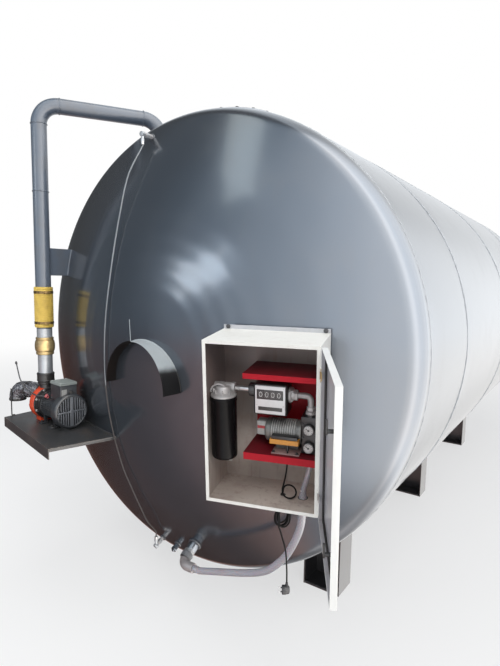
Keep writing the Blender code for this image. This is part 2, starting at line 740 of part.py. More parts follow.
def build_outlet():
    base = on_head(OUTLET_X, OUTLET_RISE, 0.0)
    forward = head_normal(OUTLET_X, OUTLET_RISE)
    stub_end = base + forward * 0.066
    stub = cylinder("outlet_stub", base - forward * 0.10, stub_end, OUTLET_RADIUS, frame,
                    TANK_PAINT, steps=32)
    cut(stub, ENVELOPE)
    drain_x, drain_rise = -0.061, -1.161
    drain_base = on_head(drain_x, drain_rise, 0.0)
    drain_way = head_normal(drain_x, drain_rise)
    drain = cylinder("drain_stub", drain_base - drain_way * 0.06, drain_base + drain_way * 0.050,
                     0.016, frame, TANK_PAINT, steps=24)
    cut(drain, ENVELOPE)
    start = stub_end + forward * SEAT_GAP
    right = Vector((1.0, 0.0, 0.0))
    right = (right - forward * right.dot(forward)).normalized()
    corner = start + forward * 0.062
    end = corner + right * 0.085
    points = [start] + bend(corner, forward, right, 0.045) + [end]
    elbow = pipe("outlet_elbow", points, 0.026, frame, BARE_METAL, sides=5)
    nut = cylinder("outlet_nut", start, start + forward * 0.020, 0.036, frame, steps=8)
    fuse(elbow, nut)
    return end, right


def cabinet_frame():
    turn = Matrix.Rotation(CABINET_YAW, 4, "Z") @ Matrix.Rotation(CABINET_PITCH, 4, "X")
    return empty("cabinet_place", CABINET_ORIGIN, turn, frame)


def build_cabinet_box(place):
    w, h, d = CABINET_WIDTH, CABINET_HEIGHT, CABINET_DEPTH
    shell = box("cabinet_box", (0.0, 0.0, -h), (w, d, 0.0), place, CABINET_PAINT)
    cavity = box("cabinet_cavity", (SHEET, SHEET, SHEET - h), (w - SHEET, d - SHEET, -SHEET), place)
    mouth = box("cabinet_mouth", (CABINET_RIM, -0.02, CABINET_RIM - h),
                (w - CABINET_RIM, 0.02, -CABINET_RIM), place)
    cord_hole = cylinder("cord_hole", (CORD_HOLE.x, CORD_HOLE.y, -h - 0.01),
                         (CORD_HOLE.x, CORD_HOLE.y, -h + 0.01), 0.010, place, steps=20)
    hose_hole = cylinder("hose_hole", (HOSE_HOLE.x, HOSE_HOLE.y, -h - 0.01),
                         (HOSE_HOLE.x, HOSE_HOLE.y, -h + 0.01), HOSE_RADIUS + 0.003,
                         place, steps=24)
    cut(shell, cavity, mouth, cord_hole, hose_hole)
    for number, level in enumerate(HINGE_HEIGHTS, 1):
        half = KNUCKLE_LENGTH / 2 + 0.0005
        lug_height = 0.010
        for side in (-1, 1):
            near = level + side * half
            far = level + side * (half + lug_height)
            lug = box(f"hinge_lug_{number}_{side}", (w - 0.0005, HINGE_Y - 0.005, min(near, far)),
                      (HINGE_X + 0.005, 0.014, max(near, far)), place)
            fuse(shell, lug)
        pin = cylinder(f"hinge_pin_{number}", (HINGE_X, HINGE_Y, level - half - 0.004),
                       (HINGE_X, HINGE_Y, level + half + 0.004), PIN_RADIUS, place, steps=16)
        fuse(shell, pin)


def build_cabinet_mount(place):
    w, h = CABINET_WIDTH, CABINET_HEIGHT
    near = CABINET_DEPTH + SEAT_GAP
    far = near + MOUNT_PLATE
    plate = box("cabinet_mount", (0.0, near, -h - MOUNT_MARGIN), (w, far, MOUNT_MARGIN),
                place, CABINET_PAINT)
    for name, low, high in (("upper", -0.090, -0.050), ("lower", -0.630, -0.590)):
        rail = box(f"mount_rail_{name}", (0.030, far - 0.001, low), (w - 0.030, far + 0.10, high),
                   place)
        fuse(plate, rail)
    for x in (0.020, w - 0.020):
        for z in (MOUNT_MARGIN - 0.008, -h - MOUNT_MARGIN + 0.008):
            hole = cylinder(f"mount_hole_{x:.2f}_{z:.2f}", (x, near - 0.01, z),
                            (x, far + 0.01, z), 0.0045, place, steps=16)
            cut(plate, hole)
    cut(plate, ENVELOPE)


def build_door(place):
    """The door in its own frame: the hinge axis is Z, the leaf runs along -X when shut."""
    turn = Matrix.Rotation(DOOR_OPEN, 4, "Z")
    hinge = empty("door_hinge", (HINGE_X, HINGE_Y, 0.0), turn, place)
    left = -HINGE_X
    right = -DOOR_EDGE
    inner = -DOOR_GAP - HINGE_Y
    outer = inner - DOOR_THICK
    h = CABINET_HEIGHT
    leaf = box("cabinet_door", (left, outer, -h), (right, inner, 0.0), hinge, CABINET_PAINT)
    tray = box("door_tray", (left + SHEET, outer + SHEET, SHEET - h),
               (right - SHEET, inner + 0.01, -SHEET), hinge)
    cut(leaf, tray)
    for number, level in enumerate(HINGE_HEIGHTS, 1):
        half = KNUCKLE_LENGTH / 2
        knuckle = cylinder(f"door_knuckle_{number}", (0.0, 0.0, level - half),
                           (0.0, 0.0, level + half), 0.005, hinge, steps=20)
        arm = box(f"door_arm_{number}", (right - 0.001, -0.0040, level - half),
                  (0.0, 0.0005, level + half), hinge)
        bore = cylinder(f"door_bore_{number}", (0.0, 0.0, level - half - 0.01),
                        (0.0, 0.0, level + half + 0.01), PIN_RADIUS + SEAT_GAP, hinge, steps=16)
        fuse(leaf, knuckle, arm)
        cut(leaf, bore)
    seal_out = 0.016
    seal_in = 0.026
    seal_back = outer + SHEET + SEAT_GAP
    seal = box("door_gasket", (left + seal_out, seal_back, seal_out - h),
               (right - seal_out, inner - 0.004, -seal_out), hinge, RUBBER)
    seal_cut = box("gasket_opening", (left + seal_in, outer, seal_in - h),
                   (right - seal_in, inner + 0.02, -seal_in), hinge)
    cut(seal, seal_cut)
    for name, level in zip(("upper", "lower"), LATCH_HEIGHTS):
        axis = empty(f"latch_{name}_axis", (left + LATCH_INSET, 0.0, level), parent=hinge)
        shaft_hole = cylinder(f"latch_hole_{name}", (left + LATCH_INSET, outer - 0.01, level),
                              (left + LATCH_INSET, outer + 0.01, level), 0.0068, hinge, steps=20)
        cut(leaf, shaft_hole)
        head = cylinder(f"door_latch_{name}", (0.0, outer - 0.0045, 0.0),
                        (0.0, outer - SEAT_GAP, 0.0), 0.013, axis, BLACK_PLASTIC, steps=24)
        cam_near = SHEET + CAM_GAP - HINGE_Y
        cam_far = cam_near + CAM_THICK
        shaft = cylinder(f"latch_shaft_{name}", (0.0, outer - 0.002, 0.0), (0.0, cam_far, 0.0),
                         0.0065, axis, steps=20)
        cam = box(f"latch_cam_{name}", (-0.007, cam_near, -0.009), (0.007, cam_far, LATCH_REACH),
                  axis)
        fuse(head, shaft, cam)


def build_contents(place):
    cylinder("filter_canister", (FILTER_X, FILTER_Y, FILTER_LOW), (FILTER_X, FILTER_Y, -0.2445),
             FILTER_RADIUS, place, BLACK_PLASTIC, steps=40)
    head = cylinder("filter_head", (FILTER_X, FILTER_Y, -0.2442), (FILTER_X, FILTER_Y, -0.196),
                    0.040, place, BARE_METAL, steps=32)
    port = box("filter_port", (0.012, FILTER_Y - 0.018, -0.238), (0.103, LINE_Y + 0.020, -0.190),
               place)
    fuse(head, port)
    nipple = cylinder("filter_nipple", (0.1033, LINE_Y, LINE_Z), (0.1897, LINE_Y, LINE_Z),
                      0.011, place, BARE_METAL, steps=20)
    collar = cylinder("meter_gland", (0.168, LINE_Y, LINE_Z), (0.1897, LINE_Y, LINE_Z), 0.029,
                      place, steps=28)
    fuse(nipple, collar)

    meter = box("flow_meter", METER_LOW, METER_HIGH, place, BLACK_PLASTIC)
    face = box("meter_face", (METER_LOW.x + 0.007, METER_LOW.y - 0.003, METER_LOW.z + 0.006),
               (METER_HIGH.x - 0.006, METER_LOW.y + 0.005, METER_HIGH.z - 0.006), place)
    bracket_back = CABINET_DEPTH - SHEET - SEAT_GAP
    stand = box("meter_stand", (0.222, METER_HIGH.y - 0.01, -0.285),
                (0.300, bracket_back - BRACKET_PLATE - SEAT_GAP, -0.205), place)
    fuse(meter, face, stand)

    right = Vector((1.0, 0.0, 0.0))
    down = Vector((0.0, 0.0, -1.0))
    line_start = Vector((METER_HIGH.x + SEAT_GAP, LINE_Y + 0.015, ELBOW_Z))
    corner = Vector((PUMP_PORT_X, line_start.y, ELBOW_Z))
    pump_top = -0.300
    points = [line_start] + bend(corner, right, down, 0.028)
    points.append(Vector((PUMP_PORT_X, line_start.y, pump_top + SEAT_GAP)))
    elbow = pipe("meter_elbow", points, 0.0125, place, BARE_METAL, sides=4)
    flange = cylinder("elbow_flange", line_start, line_start + right * 0.034, 0.032, place,
                      steps=28)
    fuse(elbow, flange)

    lip_up = 0.022
    lip_down = 0.027
    back = bracket_back
    front = BRACKET_FRONT
    line = [(front, BRACKET_TOP - lip_up), (front, BRACKET_TOP), (back, BRACKET_TOP)]
    line += [(back, BRACKET_FLOOR - BRACKET_PLATE), (front, BRACKET_FLOOR - BRACKET_PLATE)]
    line.append((front, BRACKET_FLOOR - BRACKET_PLATE - lip_down))
    bracket = bent_sheet("red_bracket", line, BRACKET_RIGHT - BRACKET_LEFT, BRACKET_PLATE,
                         place, RED_PAINT)
    bracket.location = (BRACKET_LEFT, 0.0, 0.0)
    hose_way = cylinder("bracket_hose_way", (PUMP_PORT_X, PUMP_PORT_Y, BRACKET_FLOOR - 0.02),
                        (PUMP_PORT_X, PUMP_PORT_Y, BRACKET_FLOOR + 0.02), HOSE_RADIUS + 0.002,
                        place, steps=24)
    cord_way = cylinder("bracket_cord_way", (CORD_GLAND_X, CORD_GLAND_Y, BRACKET_FLOOR - 0.02),
                        (CORD_GLAND_X, CORD_GLAND_Y, BRACKET_FLOOR + 0.02), 0.008, place, steps=20)
    cut(bracket, hose_way, cord_way)

    deck = BRACKET_FLOOR + SEAT_GAP
    pump = box("transfer_pump", (0.376, 0.085, deck), (0.446, 0.185, pump_top), place,
               BLACK_PLASTIC)
    for name, level in (("upper", -0.359), ("lower", -0.433)):
        dial = cylinder(f"pump_dial_{name}", (0.409, 0.074, level), (0.409, 0.095, level), 0.019,
                        place, steps=28)
        fuse(pump, dial)
    port = cylinder("pump_port", (PUMP_PORT_X, PUMP_PORT_Y, -0.482),
                    (PUMP_PORT_X, PUMP_PORT_Y, BRACKET_FLOOR + 0.01), HOSE_RADIUS, place,
                    steps=24)
    fuse(pump, port)

    motor = cylinder("transfer_motor", (0.222, 0.140, -0.392), (0.3757, 0.140, -0.392), 0.050,
                     place, MOTOR_GREY, steps=36)
    stand = box("motor_base", (0.262, 0.058, deck), (0.3757, 0.190, -0.458), place)
    saddle = box("motor_saddle", (0.270, 0.105, -0.460), (0.365, 0.175, -0.43), place)
    block = box("capacitor_block", (0.185, 0.110, -0.415), (0.226, 0.160, -0.350), place)
    fuse(motor, saddle, stand, block)
    cut(motor, cord_way)

    bar = box("switch_bar", (0.256, 0.055, -0.422), (0.3740, 0.0895, -0.388), place, ORANGE)
    gland = cylinder("cord_gland", (CORD_GLAND_X, CORD_GLAND_Y, -0.450),
                     (CORD_GLAND_X, CORD_GLAND_Y, -0.418), 0.0045, place, steps=16,
                     end_radius=0.0085)
    fuse(bar, gland)


def to_world(place, x, y, z):
    return place.matrix_world @ Vector((x, y, z))


def build_suction_hose(place, outlet_end, outlet_direction):
    port_end = to_world(place, PUMP_PORT_X, PUMP_PORT_Y, -0.482 - SEAT_GAP)
    inside = [(PUMP_PORT_X, PUMP_PORT_Y, -0.515)]
    inside += [(0.396, 0.125, -0.590), (HOSE_HOLE.x, HOSE_HOLE.y, -0.650)]
    inside += [(HOSE_HOLE.x, HOSE_HOLE.y, -0.710)]
    route = [to_world(place, *point) for point in inside]
    free = [(0.842, -0.332, -0.687), (0.793, -0.325, -0.805), (0.741, -0.318, -0.880)]
    free += [(0.660, -0.308, -0.960), (0.532, -0.290, -1.028), (0.338, -0.272, -1.103)]
    route += [Vector((x, y, AXIS_HEIGHT + rise)) for x, y, rise in free]
    end = outlet_end + outlet_direction * SEAT_GAP
    route.append(end + outlet_direction * 0.040)
    points = [port_end] + smooth_route(route, HOSE_RADIUS * 3) + [end]
    curve_object("suction_hose", points, HOSE_RADIUS, frame, CLEAR_HOSE, 4)


def build_power_cord(place):
    gap = SEAT_GAP
    upper = [(CORD_GLAND_X, CORD_GLAND_Y, -0.450 - gap), (CORD_GLAND_X, CORD_GLAND_Y, -0.490)]
    upper += [(0.318, 0.085, -0.550), (0.300, 0.112, -0.615), (0.296, CORD_HOLE.y, -0.660)]
    upper += [(CORD_HOLE.x, CORD_HOLE.y, -0.700)]
    points = smooth_route([to_world(place, *point) for point in upper], CORD_RADIUS * 5)
    curve_object("power_cord_upper", points, CORD_RADIUS, frame, RUBBER, 2)
    top = to_world(place, CORD_HOLE.x, CORD_HOLE.y, -0.700)
    bundle_height = 0.105
    half_width = 0.034
    half_depth = 0.020
    outline = []
    for i in range(13):
        turn = math.pi * i / 12
        outline.append((half_width * math.cos(turn), half_width * math.sin(turn) - half_width))
    for i in range(13):
        turn = math.pi + math.pi * i / 12
        outline.append((half_width * math.cos(turn),
                        half_width * math.sin(turn) + half_width - bundle_height))
    bundle = plate_outline("cord_bundle", outline, 2 * half_depth, frame, RUBBER)
    bundle.matrix_world = Matrix.Translation(top - Vector((0.0, 0.0, gap))) @ (
        Matrix.Rotation(radians(60.0), 4, "Z") @ Matrix.Rotation(radians(90.0), 4, "X"))
    start = top - Vector((0.0, 0.0, bundle_height + 2 * gap))
    lower = [start, start + Vector((0.004, 0.0, -0.09)), start + Vector((0.002, -0.002, -0.19))]
    lower.append(start + Vector((0.004, -0.002, -0.262)))
    curve_object("power_cord_lower", smooth_route(lower, CORD_RADIUS * 5), CORD_RADIUS, frame,
                 RUBBER, 2)
    tip = lower[-1] - Vector((0.0, 0.0, gap))
    left = Vector((-0.82, -0.57, 0.0)).normalized()
    sleeve_low = tip - Vector((0.0, 0.0, 0.018))
    plug = cylinder("power_plug", sleeve_low, tip, 0.0085, frame, BLACK_PLASTIC, steps=20,
                    end_radius=0.0055)
    middle = tip - Vector((0.0, 0.0, 0.034))
    grip = cylinder("plug_grip", middle - left * 0.014, middle + left * 0.020, 0.0195, frame,
                    steps=24)
    fuse(plug, grip)
    for number, side in enumerate((-1, 1), 1):
        root = middle + Vector((0.0, 0.0, 0.0095 * side))
        prong = cylinder(f"plug_pin_{number}", root, root + left * 0.037, 0.0024, frame, steps=12)
        fuse(plug, prong)


def centre_model():
    """Move the whole model so that its footprint is centred on the origin."""
    bpy.context.view_layer.update()
    graph = bpy.context.evaluated_depsgraph_get()
    corners = []
    for body in parts.objects:
        if body.name in CORD_PIECES:
            continue
        shape = body.evaluated_get(graph)
        corners += [shape.matrix_world @ vert.co for vert in shape.to_mesh().vertices]
        shape.to_mesh_clear()
    for axis in (0, 1):
        values = [corner[axis] for corner in corners]
        frame.location[axis] = -(min(values) + max(values)) / 2
    bpy.context.view_layer.update()


def main():
    build_heads()
    courses = build_courses()
    build_manhole(courses[0])
    for number, y in enumerate(LEG_ROWS, 1):
        for side in (-1, 1):
            build_leg(number, side, y)
    build_fill_pipe()
    build_pipe_bracket()
    build_riser()
    build_shelf()
    build_pump()
    build_hood()
    build_level_gauge()
    outlet_end, outlet_direction = build_outlet()
    cabinet = cabinet_frame()
    build_cabinet_box(cabinet)
    build_cabinet_mount(cabinet)
    build_door(cabinet)
    build_contents(cabinet)
    bpy.context.view_layer.update()
    build_suction_hose(cabinet, outlet_end, outlet_direction)
    build_power_cord(cabinet)
    centre_model()


main()
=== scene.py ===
import bpy
import bmesh
from math import asin, copysign, cos, exp, hypot, pi, radians, sin, sqrt
from mathutils import Matrix, Vector, noise


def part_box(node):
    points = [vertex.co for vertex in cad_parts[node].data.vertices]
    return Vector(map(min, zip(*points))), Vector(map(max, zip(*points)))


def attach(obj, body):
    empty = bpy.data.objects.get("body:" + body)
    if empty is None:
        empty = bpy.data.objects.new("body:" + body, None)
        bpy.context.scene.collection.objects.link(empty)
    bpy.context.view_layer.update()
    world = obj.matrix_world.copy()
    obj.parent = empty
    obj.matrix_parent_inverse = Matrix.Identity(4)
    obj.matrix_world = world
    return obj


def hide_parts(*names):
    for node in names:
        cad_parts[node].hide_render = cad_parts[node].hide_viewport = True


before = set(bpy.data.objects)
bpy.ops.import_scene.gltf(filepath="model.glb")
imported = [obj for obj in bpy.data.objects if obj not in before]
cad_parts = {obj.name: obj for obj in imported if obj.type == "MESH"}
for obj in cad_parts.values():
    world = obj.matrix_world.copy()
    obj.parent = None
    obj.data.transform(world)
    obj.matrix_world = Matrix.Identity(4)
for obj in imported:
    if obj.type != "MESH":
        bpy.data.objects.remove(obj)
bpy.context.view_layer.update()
print("frame loaded,", len(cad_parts), "nodes")

# driving sizes of the tank, in metres
tank = {
    "radius": 1.25, "plate": 0.006, "crown": 2.5, "knuckle": 0.12, "flange": 0.03,
    "length": 4.44, "seams": (0.03, 0.78, 2.28, 3.78, 4.41),
}
seatGap = 0.0003  # what touching meshes keep between them
headLow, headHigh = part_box("front_head")
axisX = (headLow.x + headHigh.x) / 2
axisZ = (headLow.z + headHigh.z) / 2
tangentY = headHigh.y - tank["flange"] + seatGap


def place(x, y, rise):
    # x from the axis, y back from the front tangent line, rise above the axis
    return Vector((axisX + x, tangentY + y, axisZ + rise))


def turned(angle, axis):
    return Matrix.Rotation(angle, 4, axis)


def moved(point):
    return Matrix.Translation(Vector(point))


# frames of the sub-assemblies
facingFront = turned(radians(90), "X")
alongX = turned(radians(90), "Y")
tankFrame = moved(place(0, 0, 0)) @ facingFront
cabinet = {"width": 0.464, "height": 0.68, "depth": 0.25, "sheet": 0.002, "rim": 0.014, "origin": (0.5573,
    -0.6485, 0.1258), "yaw": 0.3053, "pitch": 0.0913}
cabinetFrame = moved(place(*cabinet["origin"])) @ turned(cabinet["yaw"], "Z") @ turned(cabinet["pitch"], "X")
door = {"hinge": (0.468, -0.006, 0), "open": radians(103.5), "gap": 0.005, "thick": 0.022,
    "latchHeights": (-0.145, -0.53), "latchInset": 0.045, "hingeHeights": (-0.105, -0.585)}
doorFrame = cabinetFrame @ moved(door["hinge"]) @ turned(door["open"], "Z")
doorInner = -door["gap"] - door["hinge"][1]
# left, right, inner and outer face of the leaf
doorEdges = (-door["hinge"][0], -0.008, doorInner, doorInner - door["thick"])
riser = {"x": -0.951, "y": -0.357, "pipeRadius": 0.0445}
riserFrame = moved(place(riser["x"], riser["y"], 0))
pumpFrame = moved(place(riser["x"], riser["y"], -0.415)) @ turned(radians(-8.2), "Z")
shelfFrame = moved(place(-0.447, -0.675, -0.524)) @ turned(radians(-13.2), "Z")
hoodFrame = moved(place(-0.035, -0.47, -0.184)) @ turned(-0.11, "Z") @ facingFront

# camera at the photo's viewing angle
viewpoint = {"position": (1.7801, -2.0836, 0.3596), "yaw": 0.6062, "pitch": -0.1084, "roll": 0.0177,
    "lens": 26.37}


def addCamera():
    yaw, pitch, roll = viewpoint["yaw"], viewpoint["pitch"], viewpoint["roll"]
    ahead = Vector((-sin(yaw) * cos(pitch), cos(yaw) * cos(pitch), sin(pitch)))
    level = Vector((cos(yaw), sin(yaw), 0))
    above = level.cross(ahead)
    right = level * cos(roll) + above * sin(roll)
    up = above * cos(roll) - level * sin(roll)
    data = bpy.data.cameras.new("camera")
    data.lens = viewpoint["lens"]
    data.sensor_width = 36
    data.clip_end = 100
    camera = bpy.data.objects.new("camera", data)
    bpy.context.scene.collection.objects.link(camera)
    turn = Matrix((right, up, -ahead)).transposed().to_4x4()
    camera.matrix_world = moved(place(*viewpoint["position"])) @ turn
    bpy.context.scene.camera = camera


addCamera()
print("camera placed")


# mesh helpers: each adds to a bmesh, and finishPiece turns it into one object

def turns(count, shift=0):
    # angles of count even steps round a circle
    return [2 * pi * (k + shift) / count for k in range(count)]


def ringPoints(radius, height, steps, matrix):
    return [matrix @ Vector((radius * cos(t), radius * sin(t), height)) for t in turns(steps)]


def addFace(shape, corners, slot=0, smooth=True):
    face = shape.faces.new(corners)
    face.material_index = slot
    face.smooth = smooth
    return face


def skinRings(shape, rings, slot=0, closed=False):
    # faces from each ring of vertices to the next; a ring of one vertex is a tip
    for a, b in zip(rings, rings[1:] + rings[:closed]):
        steps = max(len(a), len(b))
        for k in range(steps):
            j = (k + 1) % steps
            if len(a) == 1:
                addFace(shape, (a[0], b[k], b[j]), slot)
            elif len(b) == 1:
                addFace(shape, (a[k], b[0], a[j]), slot)
            else:
                addFace(shape, (a[k], b[k], b[j], a[j]), slot)


def addLathe(shape, profile, matrix=Matrix(), steps=48, slot=0, closed=False):
    rings = []
    for radius, height in profile:
        if radius < 1e-6:
            rings.append([shape.verts.new(matrix @ Vector((0, 0, height)))])
        else:
            rings.append([shape.verts.new(p) for p in ringPoints(radius, height, steps, matrix)])
    skinRings(shape, rings, slot, closed)


def roundedProfile(radius, low, high, soft, inner=0, arcs=4):
    # a turned solid's outline with softened outer edges
    line = [(inner, high)]
    for k in range(arcs + 1):
        t = pi / 2 * k / arcs
        line.append((radius - soft + soft * sin(t), high - soft + soft * cos(t)))
    for k in range(arcs + 1):
        t = pi / 2 * k / arcs
        line.append((radius - soft + soft * cos(t), low + soft - soft * sin(t)))
    line.append((inner, low))
    return line


def addDisc(shape, start, end, radius, soft=0.001, steps=32, slot=0, matrix=Matrix(), inner=0):
    # a softened cylinder from start to end, in the frame of matrix
    start, end = Vector(start), Vector(end)
    axis = end - start
    turn = axis.to_track_quat("Z", "Y").to_matrix().to_4x4()
    line = roundedProfile(radius, 0, axis.length, min(soft, axis.length * 0.45, radius * 0.45), inner)
    addLathe(shape, line, matrix @ moved(start) @ turn, steps, slot, closed=inner > 0)


def mergeShape(shape, part, matrix, slot):
    part.transform(matrix)
    for face in part.faces:
        face.material_index = slot
    mesh = bpy.data.meshes.new("merge")
    part.to_mesh(mesh)
    part.free()
    shape.from_mesh(mesh)
    bpy.data.meshes.remove(mesh)


def addBlock(shape, low, high, matrix=Matrix(), bevel=0.001, slot=0, segments=2):
    low, high = Vector(low), Vector(high)
    part = bmesh.new()
    bmesh.ops.create_cube(part, size=1)
    bmesh.ops.scale(part, vec=high - low, verts=part.verts)
    bmesh.ops.translate(part, vec=(low + high) / 2, verts=part.verts)
    width = min(bevel, 0.45 * min(high - low))
    if width > 0:
        bmesh.ops.bevel(part, geom=part.edges[:], offset=width, segments=segments, affect="EDGES",
            profile=0.6)
    mergeShape(shape, part, matrix, slot)


def addPrism(shape, outline, low, high, matrix=Matrix(), bevel=0.001, slot=0, segments=2):
    # an outline in the local XY plane, thick from low to high along local Z
    part = bmesh.new()
    bottom = [part.verts.new((x, y, low)) for x, y in outline]
    top = [part.verts.new((x, y, high)) for x, y in outline]
    part.faces.new(bottom[::-1])
    part.faces.new(top)
    for k in range(len(outline)):
        j = (k + 1) % len(outline)
        part.faces.new((bottom[k], bottom[j], top[j], top[k]))
    bmesh.ops.recalc_face_normals(part, faces=part.faces[:])
    if bevel > 0:
        rims = [e for e in part.edges if e.calc_face_angle(0) > 0.5]
        bmesh.ops.bevel(part, geom=rims, offset=bevel, segments=segments, affect="EDGES", profile=0.6)
    mergeShape(shape, part, matrix, slot)


def hexOutline(across, turn=0):
    reach = across / sqrt(3)
    return [(reach * cos(turn + pi / 3 * k), reach * sin(turn + pi / 3 * k)) for k in range(6)]


def addBolt(shape, matrix, across=0.017, height=0.007, washer=True, slot=0):
    # a hexagon head standing on a seat at the matrix's XY plane
    lift = 0
    if washer:
        addLathe(shape, roundedProfile(across * 0.78, 0, 0.0018, 0.0004), matrix, 20, slot)
        lift = 0.0016
    addPrism(shape, hexOutline(across), lift, lift + height, matrix, across * 0.05, slot, 1)


def addTube(shape, points, radius, sides=16, slot=0, caps=True, closed=False, startTurn=0):
    # radius is a number, or a function of the point's number and the angle round the tube
    points = [Vector(p) for p in points]
    count = len(points)
    uv = shape.loops.layers.uv.verify()
    tangents = []
    for k in range(count):
        ahead = points[(k + 1) % count] if closed or k < count - 1 else points[k]
        behind = points[k - 1] if closed or k > 0 else points[k]
        tangents.append((ahead - behind).normalized())
    side = tangents[0].orthogonal().normalized()
    side.rotate(Matrix.Rotation(startTurn, 3, tangents[0]))
    rings, travelled, walked = [], [], 0
    for k in range(count):
        if k:
            side.rotate(tangents[k - 1].rotation_difference(tangents[k]))
            side = (side - tangents[k] * side.dot(tangents[k])).normalized()
            walked += (points[k] - points[k - 1]).length
        travelled.append(walked)
        across = tangents[k].cross(side)
        ring = []
        for s in range(sides):
            t = 2 * pi * s / sides
            r = radius(k, t) if callable(radius) else radius
            ring.append(shape.verts.new(points[k] + (side * cos(t) + across * sin(t)) * r))
        rings.append(ring)
    spans = range(count if closed else count - 1)
    for k in spans:
        a, b = rings[k], rings[(k + 1) % count]
        for s in range(sides):
            j = (s + 1) % sides
            face = addFace(shape, (a[s], a[j], b[j], b[s]), slot)
            ends = (travelled[k], travelled[k + 1] if k + 1 < count else walked)
            for loop, (u, v) in zip(face.loops, ((s, 0), (s + 1, 0), (s + 1, 1), (s, 1))):
                loop[uv].uv = (u / sides, ends[v])
    if caps and not closed:
        addFace(shape, rings[0][::-1], slot, False)
        addFace(shape, rings[-1], slot, False)


def addBead(shape, points, radius=0.004, slot=0, closed=False, seed=0):
    # a weld bead: a thin tube whose ripples and width change along it
    def rough(k, t):
        p = points[k]
        change = noise.noise(Vector((p[0], p[1], p[2])) * 60 + Vector((seed, 0, 0)))
        return radius * (1 + 0.16 * sin(k * 2.1) + 0.35 * change)
    addTube(shape, points, rough, 8, slot, True, closed)


def addHoop(shape, matrix, radius, height, steps, thick, sides, slot):
    # a round ring of thin tube
    addTube(shape, ringPoints(radius, height, steps, matrix), thick, sides, slot, False, True)


def addBlocks(shape, matrix, *rows):
    # each row is a low and a high corner, then what addBlock takes after its matrix
    for low, high, *finish in rows:
        addBlock(shape, low, high, matrix, *finish)


def finishPiece(name, shape, finishes, replaces=None, body="tank", angle=35):
    # finishes names the paints of the shape's slots, and replaces the CAD nodes it takes the place of
    bmesh.ops.recalc_face_normals(shape, faces=shape.faces[:])
    mesh = bpy.data.meshes.new(name)
    shape.to_mesh(mesh)
    shape.free()
    for finish in finishes.split():
        mesh.materials.append(paint[finish])
    mesh.shade_smooth()
    mesh.set_sharp_from_angle(angle=radians(angle))
    piece = bpy.data.objects.new(name, mesh)
    bpy.context.scene.collection.objects.link(piece)
    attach(piece, body)
    if replaces:
        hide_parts(*replaces.split())
    return piece


def dress(nodeName, material, bevelWidth=0):
    # a better material on a CAD node, with softened edges
    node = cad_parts[nodeName]
    if not node.material_slots:
        node.data.materials.append(material)
    for holder in node.material_slots:
        holder.material = material
    if bevelWidth:
        weld = node.modifiers.new("weld", "WELD")
        weld.merge_threshold = 0.00005
        edge = node.modifiers.new("edge", "BEVEL")
        edge.width = bevelWidth
        edge.segments = 2
        edge.limit_method = "ANGLE"
        edge.angle_limit = 0.6


def smoothRoute(route, spacing):
    # points about spacing apart on one smooth curve through the route's points
    route = [Vector(p) for p in route]
    padded = [2 * route[0] - route[1]] + route + [2 * route[-1] - route[-2]]
    fine = []
    for i in range(1, len(padded) - 2):
        p0, p1, p2, p3 = padded[i - 1:i + 3]
        for k in range(24):
            t = k / 24
            fine.append(0.5 * (2 * p1 + (p2 - p0) * t + (2 * p0 - 5 * p1 + 4 * p2 - p3) * t * t
                + (3 * p1 - p0 - 3 * p2 + p3) * t * t * t))
    fine.append(route[-1])
    length = sum((b - a).length for a, b in zip(fine, fine[1:]))
    count = max(2, round(length / spacing))
    step = length / count
    points, walked = [fine[0]], 0
    for a, b in zip(fine, fine[1:]):
        span = (b - a).length
        while len(points) < count and walked + span >= step * len(points):
            points.append(a.lerp(b, (step * len(points) - walked) / span))
        walked += span
    points.append(fine[-1])
    return points


def quarterBend(corner, before, after, radius, steps=14):
    centre = corner - before * radius + after * radius
    a, b = -after * radius, before * radius
    turns = [pi / 2 * k / steps for k in range(steps + 1)]
    return [centre + a * cos(t) + b * sin(t) for t in turns]


def headLine(offset=0, crownSteps=60, kneeSteps=14):
    # the line of a dished head from its middle to its edge, as (radius, height)
    middle = tank["radius"] - tank["knuckle"]
    reach = tank["crown"] - tank["knuckle"]
    crownAngle = asin(middle / reach)
    base = -sqrt(reach ** 2 - middle ** 2)
    line = []
    for k in range(crownSteps + 1):
        t = crownAngle * k / crownSteps
        line.append(((tank["crown"] + offset) * sin(t), base + (tank["crown"] + offset) * cos(t)))
    for k in range(1, kneeSteps + 1):
        t = crownAngle + (pi / 2 - crownAngle) * k / kneeSteps
        line.append((middle + (tank["knuckle"] + offset) * sin(t), (tank["knuckle"] + offset) * cos(t)))
    return line


def headDepth(x, rise):
    # y of the front head's outer face, back from the tangent line
    reach = hypot(x, rise)
    line = headLine()
    for (r0, h0), (r1, h1) in zip(line, line[1:]):
        if r0 <= reach <= r1:
            return -(h0 + (h1 - h0) * (reach - r0) / (r1 - r0))
    return 0


def onHead(x, rise, proud=0):
    return place(x, headDepth(x, rise) - proud, rise)


def headNormal(x, rise):
    deep = sqrt(tank["crown"] ** 2 - x ** 2 - rise ** 2)
    return Vector((x, -deep, rise)) / tank["crown"]


def reachHead(base, way, low, high, rounds):
    # how far along way from base the head's face lies
    for _ in range(rounds):
        mid = (low + high) / 2
        point = base + way * mid
        if point.y - tangentY > headDepth(point.x - axisX, point.z - axisZ):
            high = mid
        else:
            low = mid
    return high


def alongAxis(point, direction):
    # a frame at point whose Z runs along direction
    return moved(point) @ Vector(direction).to_track_quat("Z", "Y").to_matrix().to_4x4()


# shader helpers, and the groups that the materials share

def feed(tree, socket, value):
    # a socket takes another node's output, a number or a colour
    if isinstance(value, bpy.types.NodeSocket):
        tree.links.new(value, socket)
    elif socket.type == "RGBA":
        socket.default_value = (*value, 1)
    elif value is not None:
        socket.default_value = value


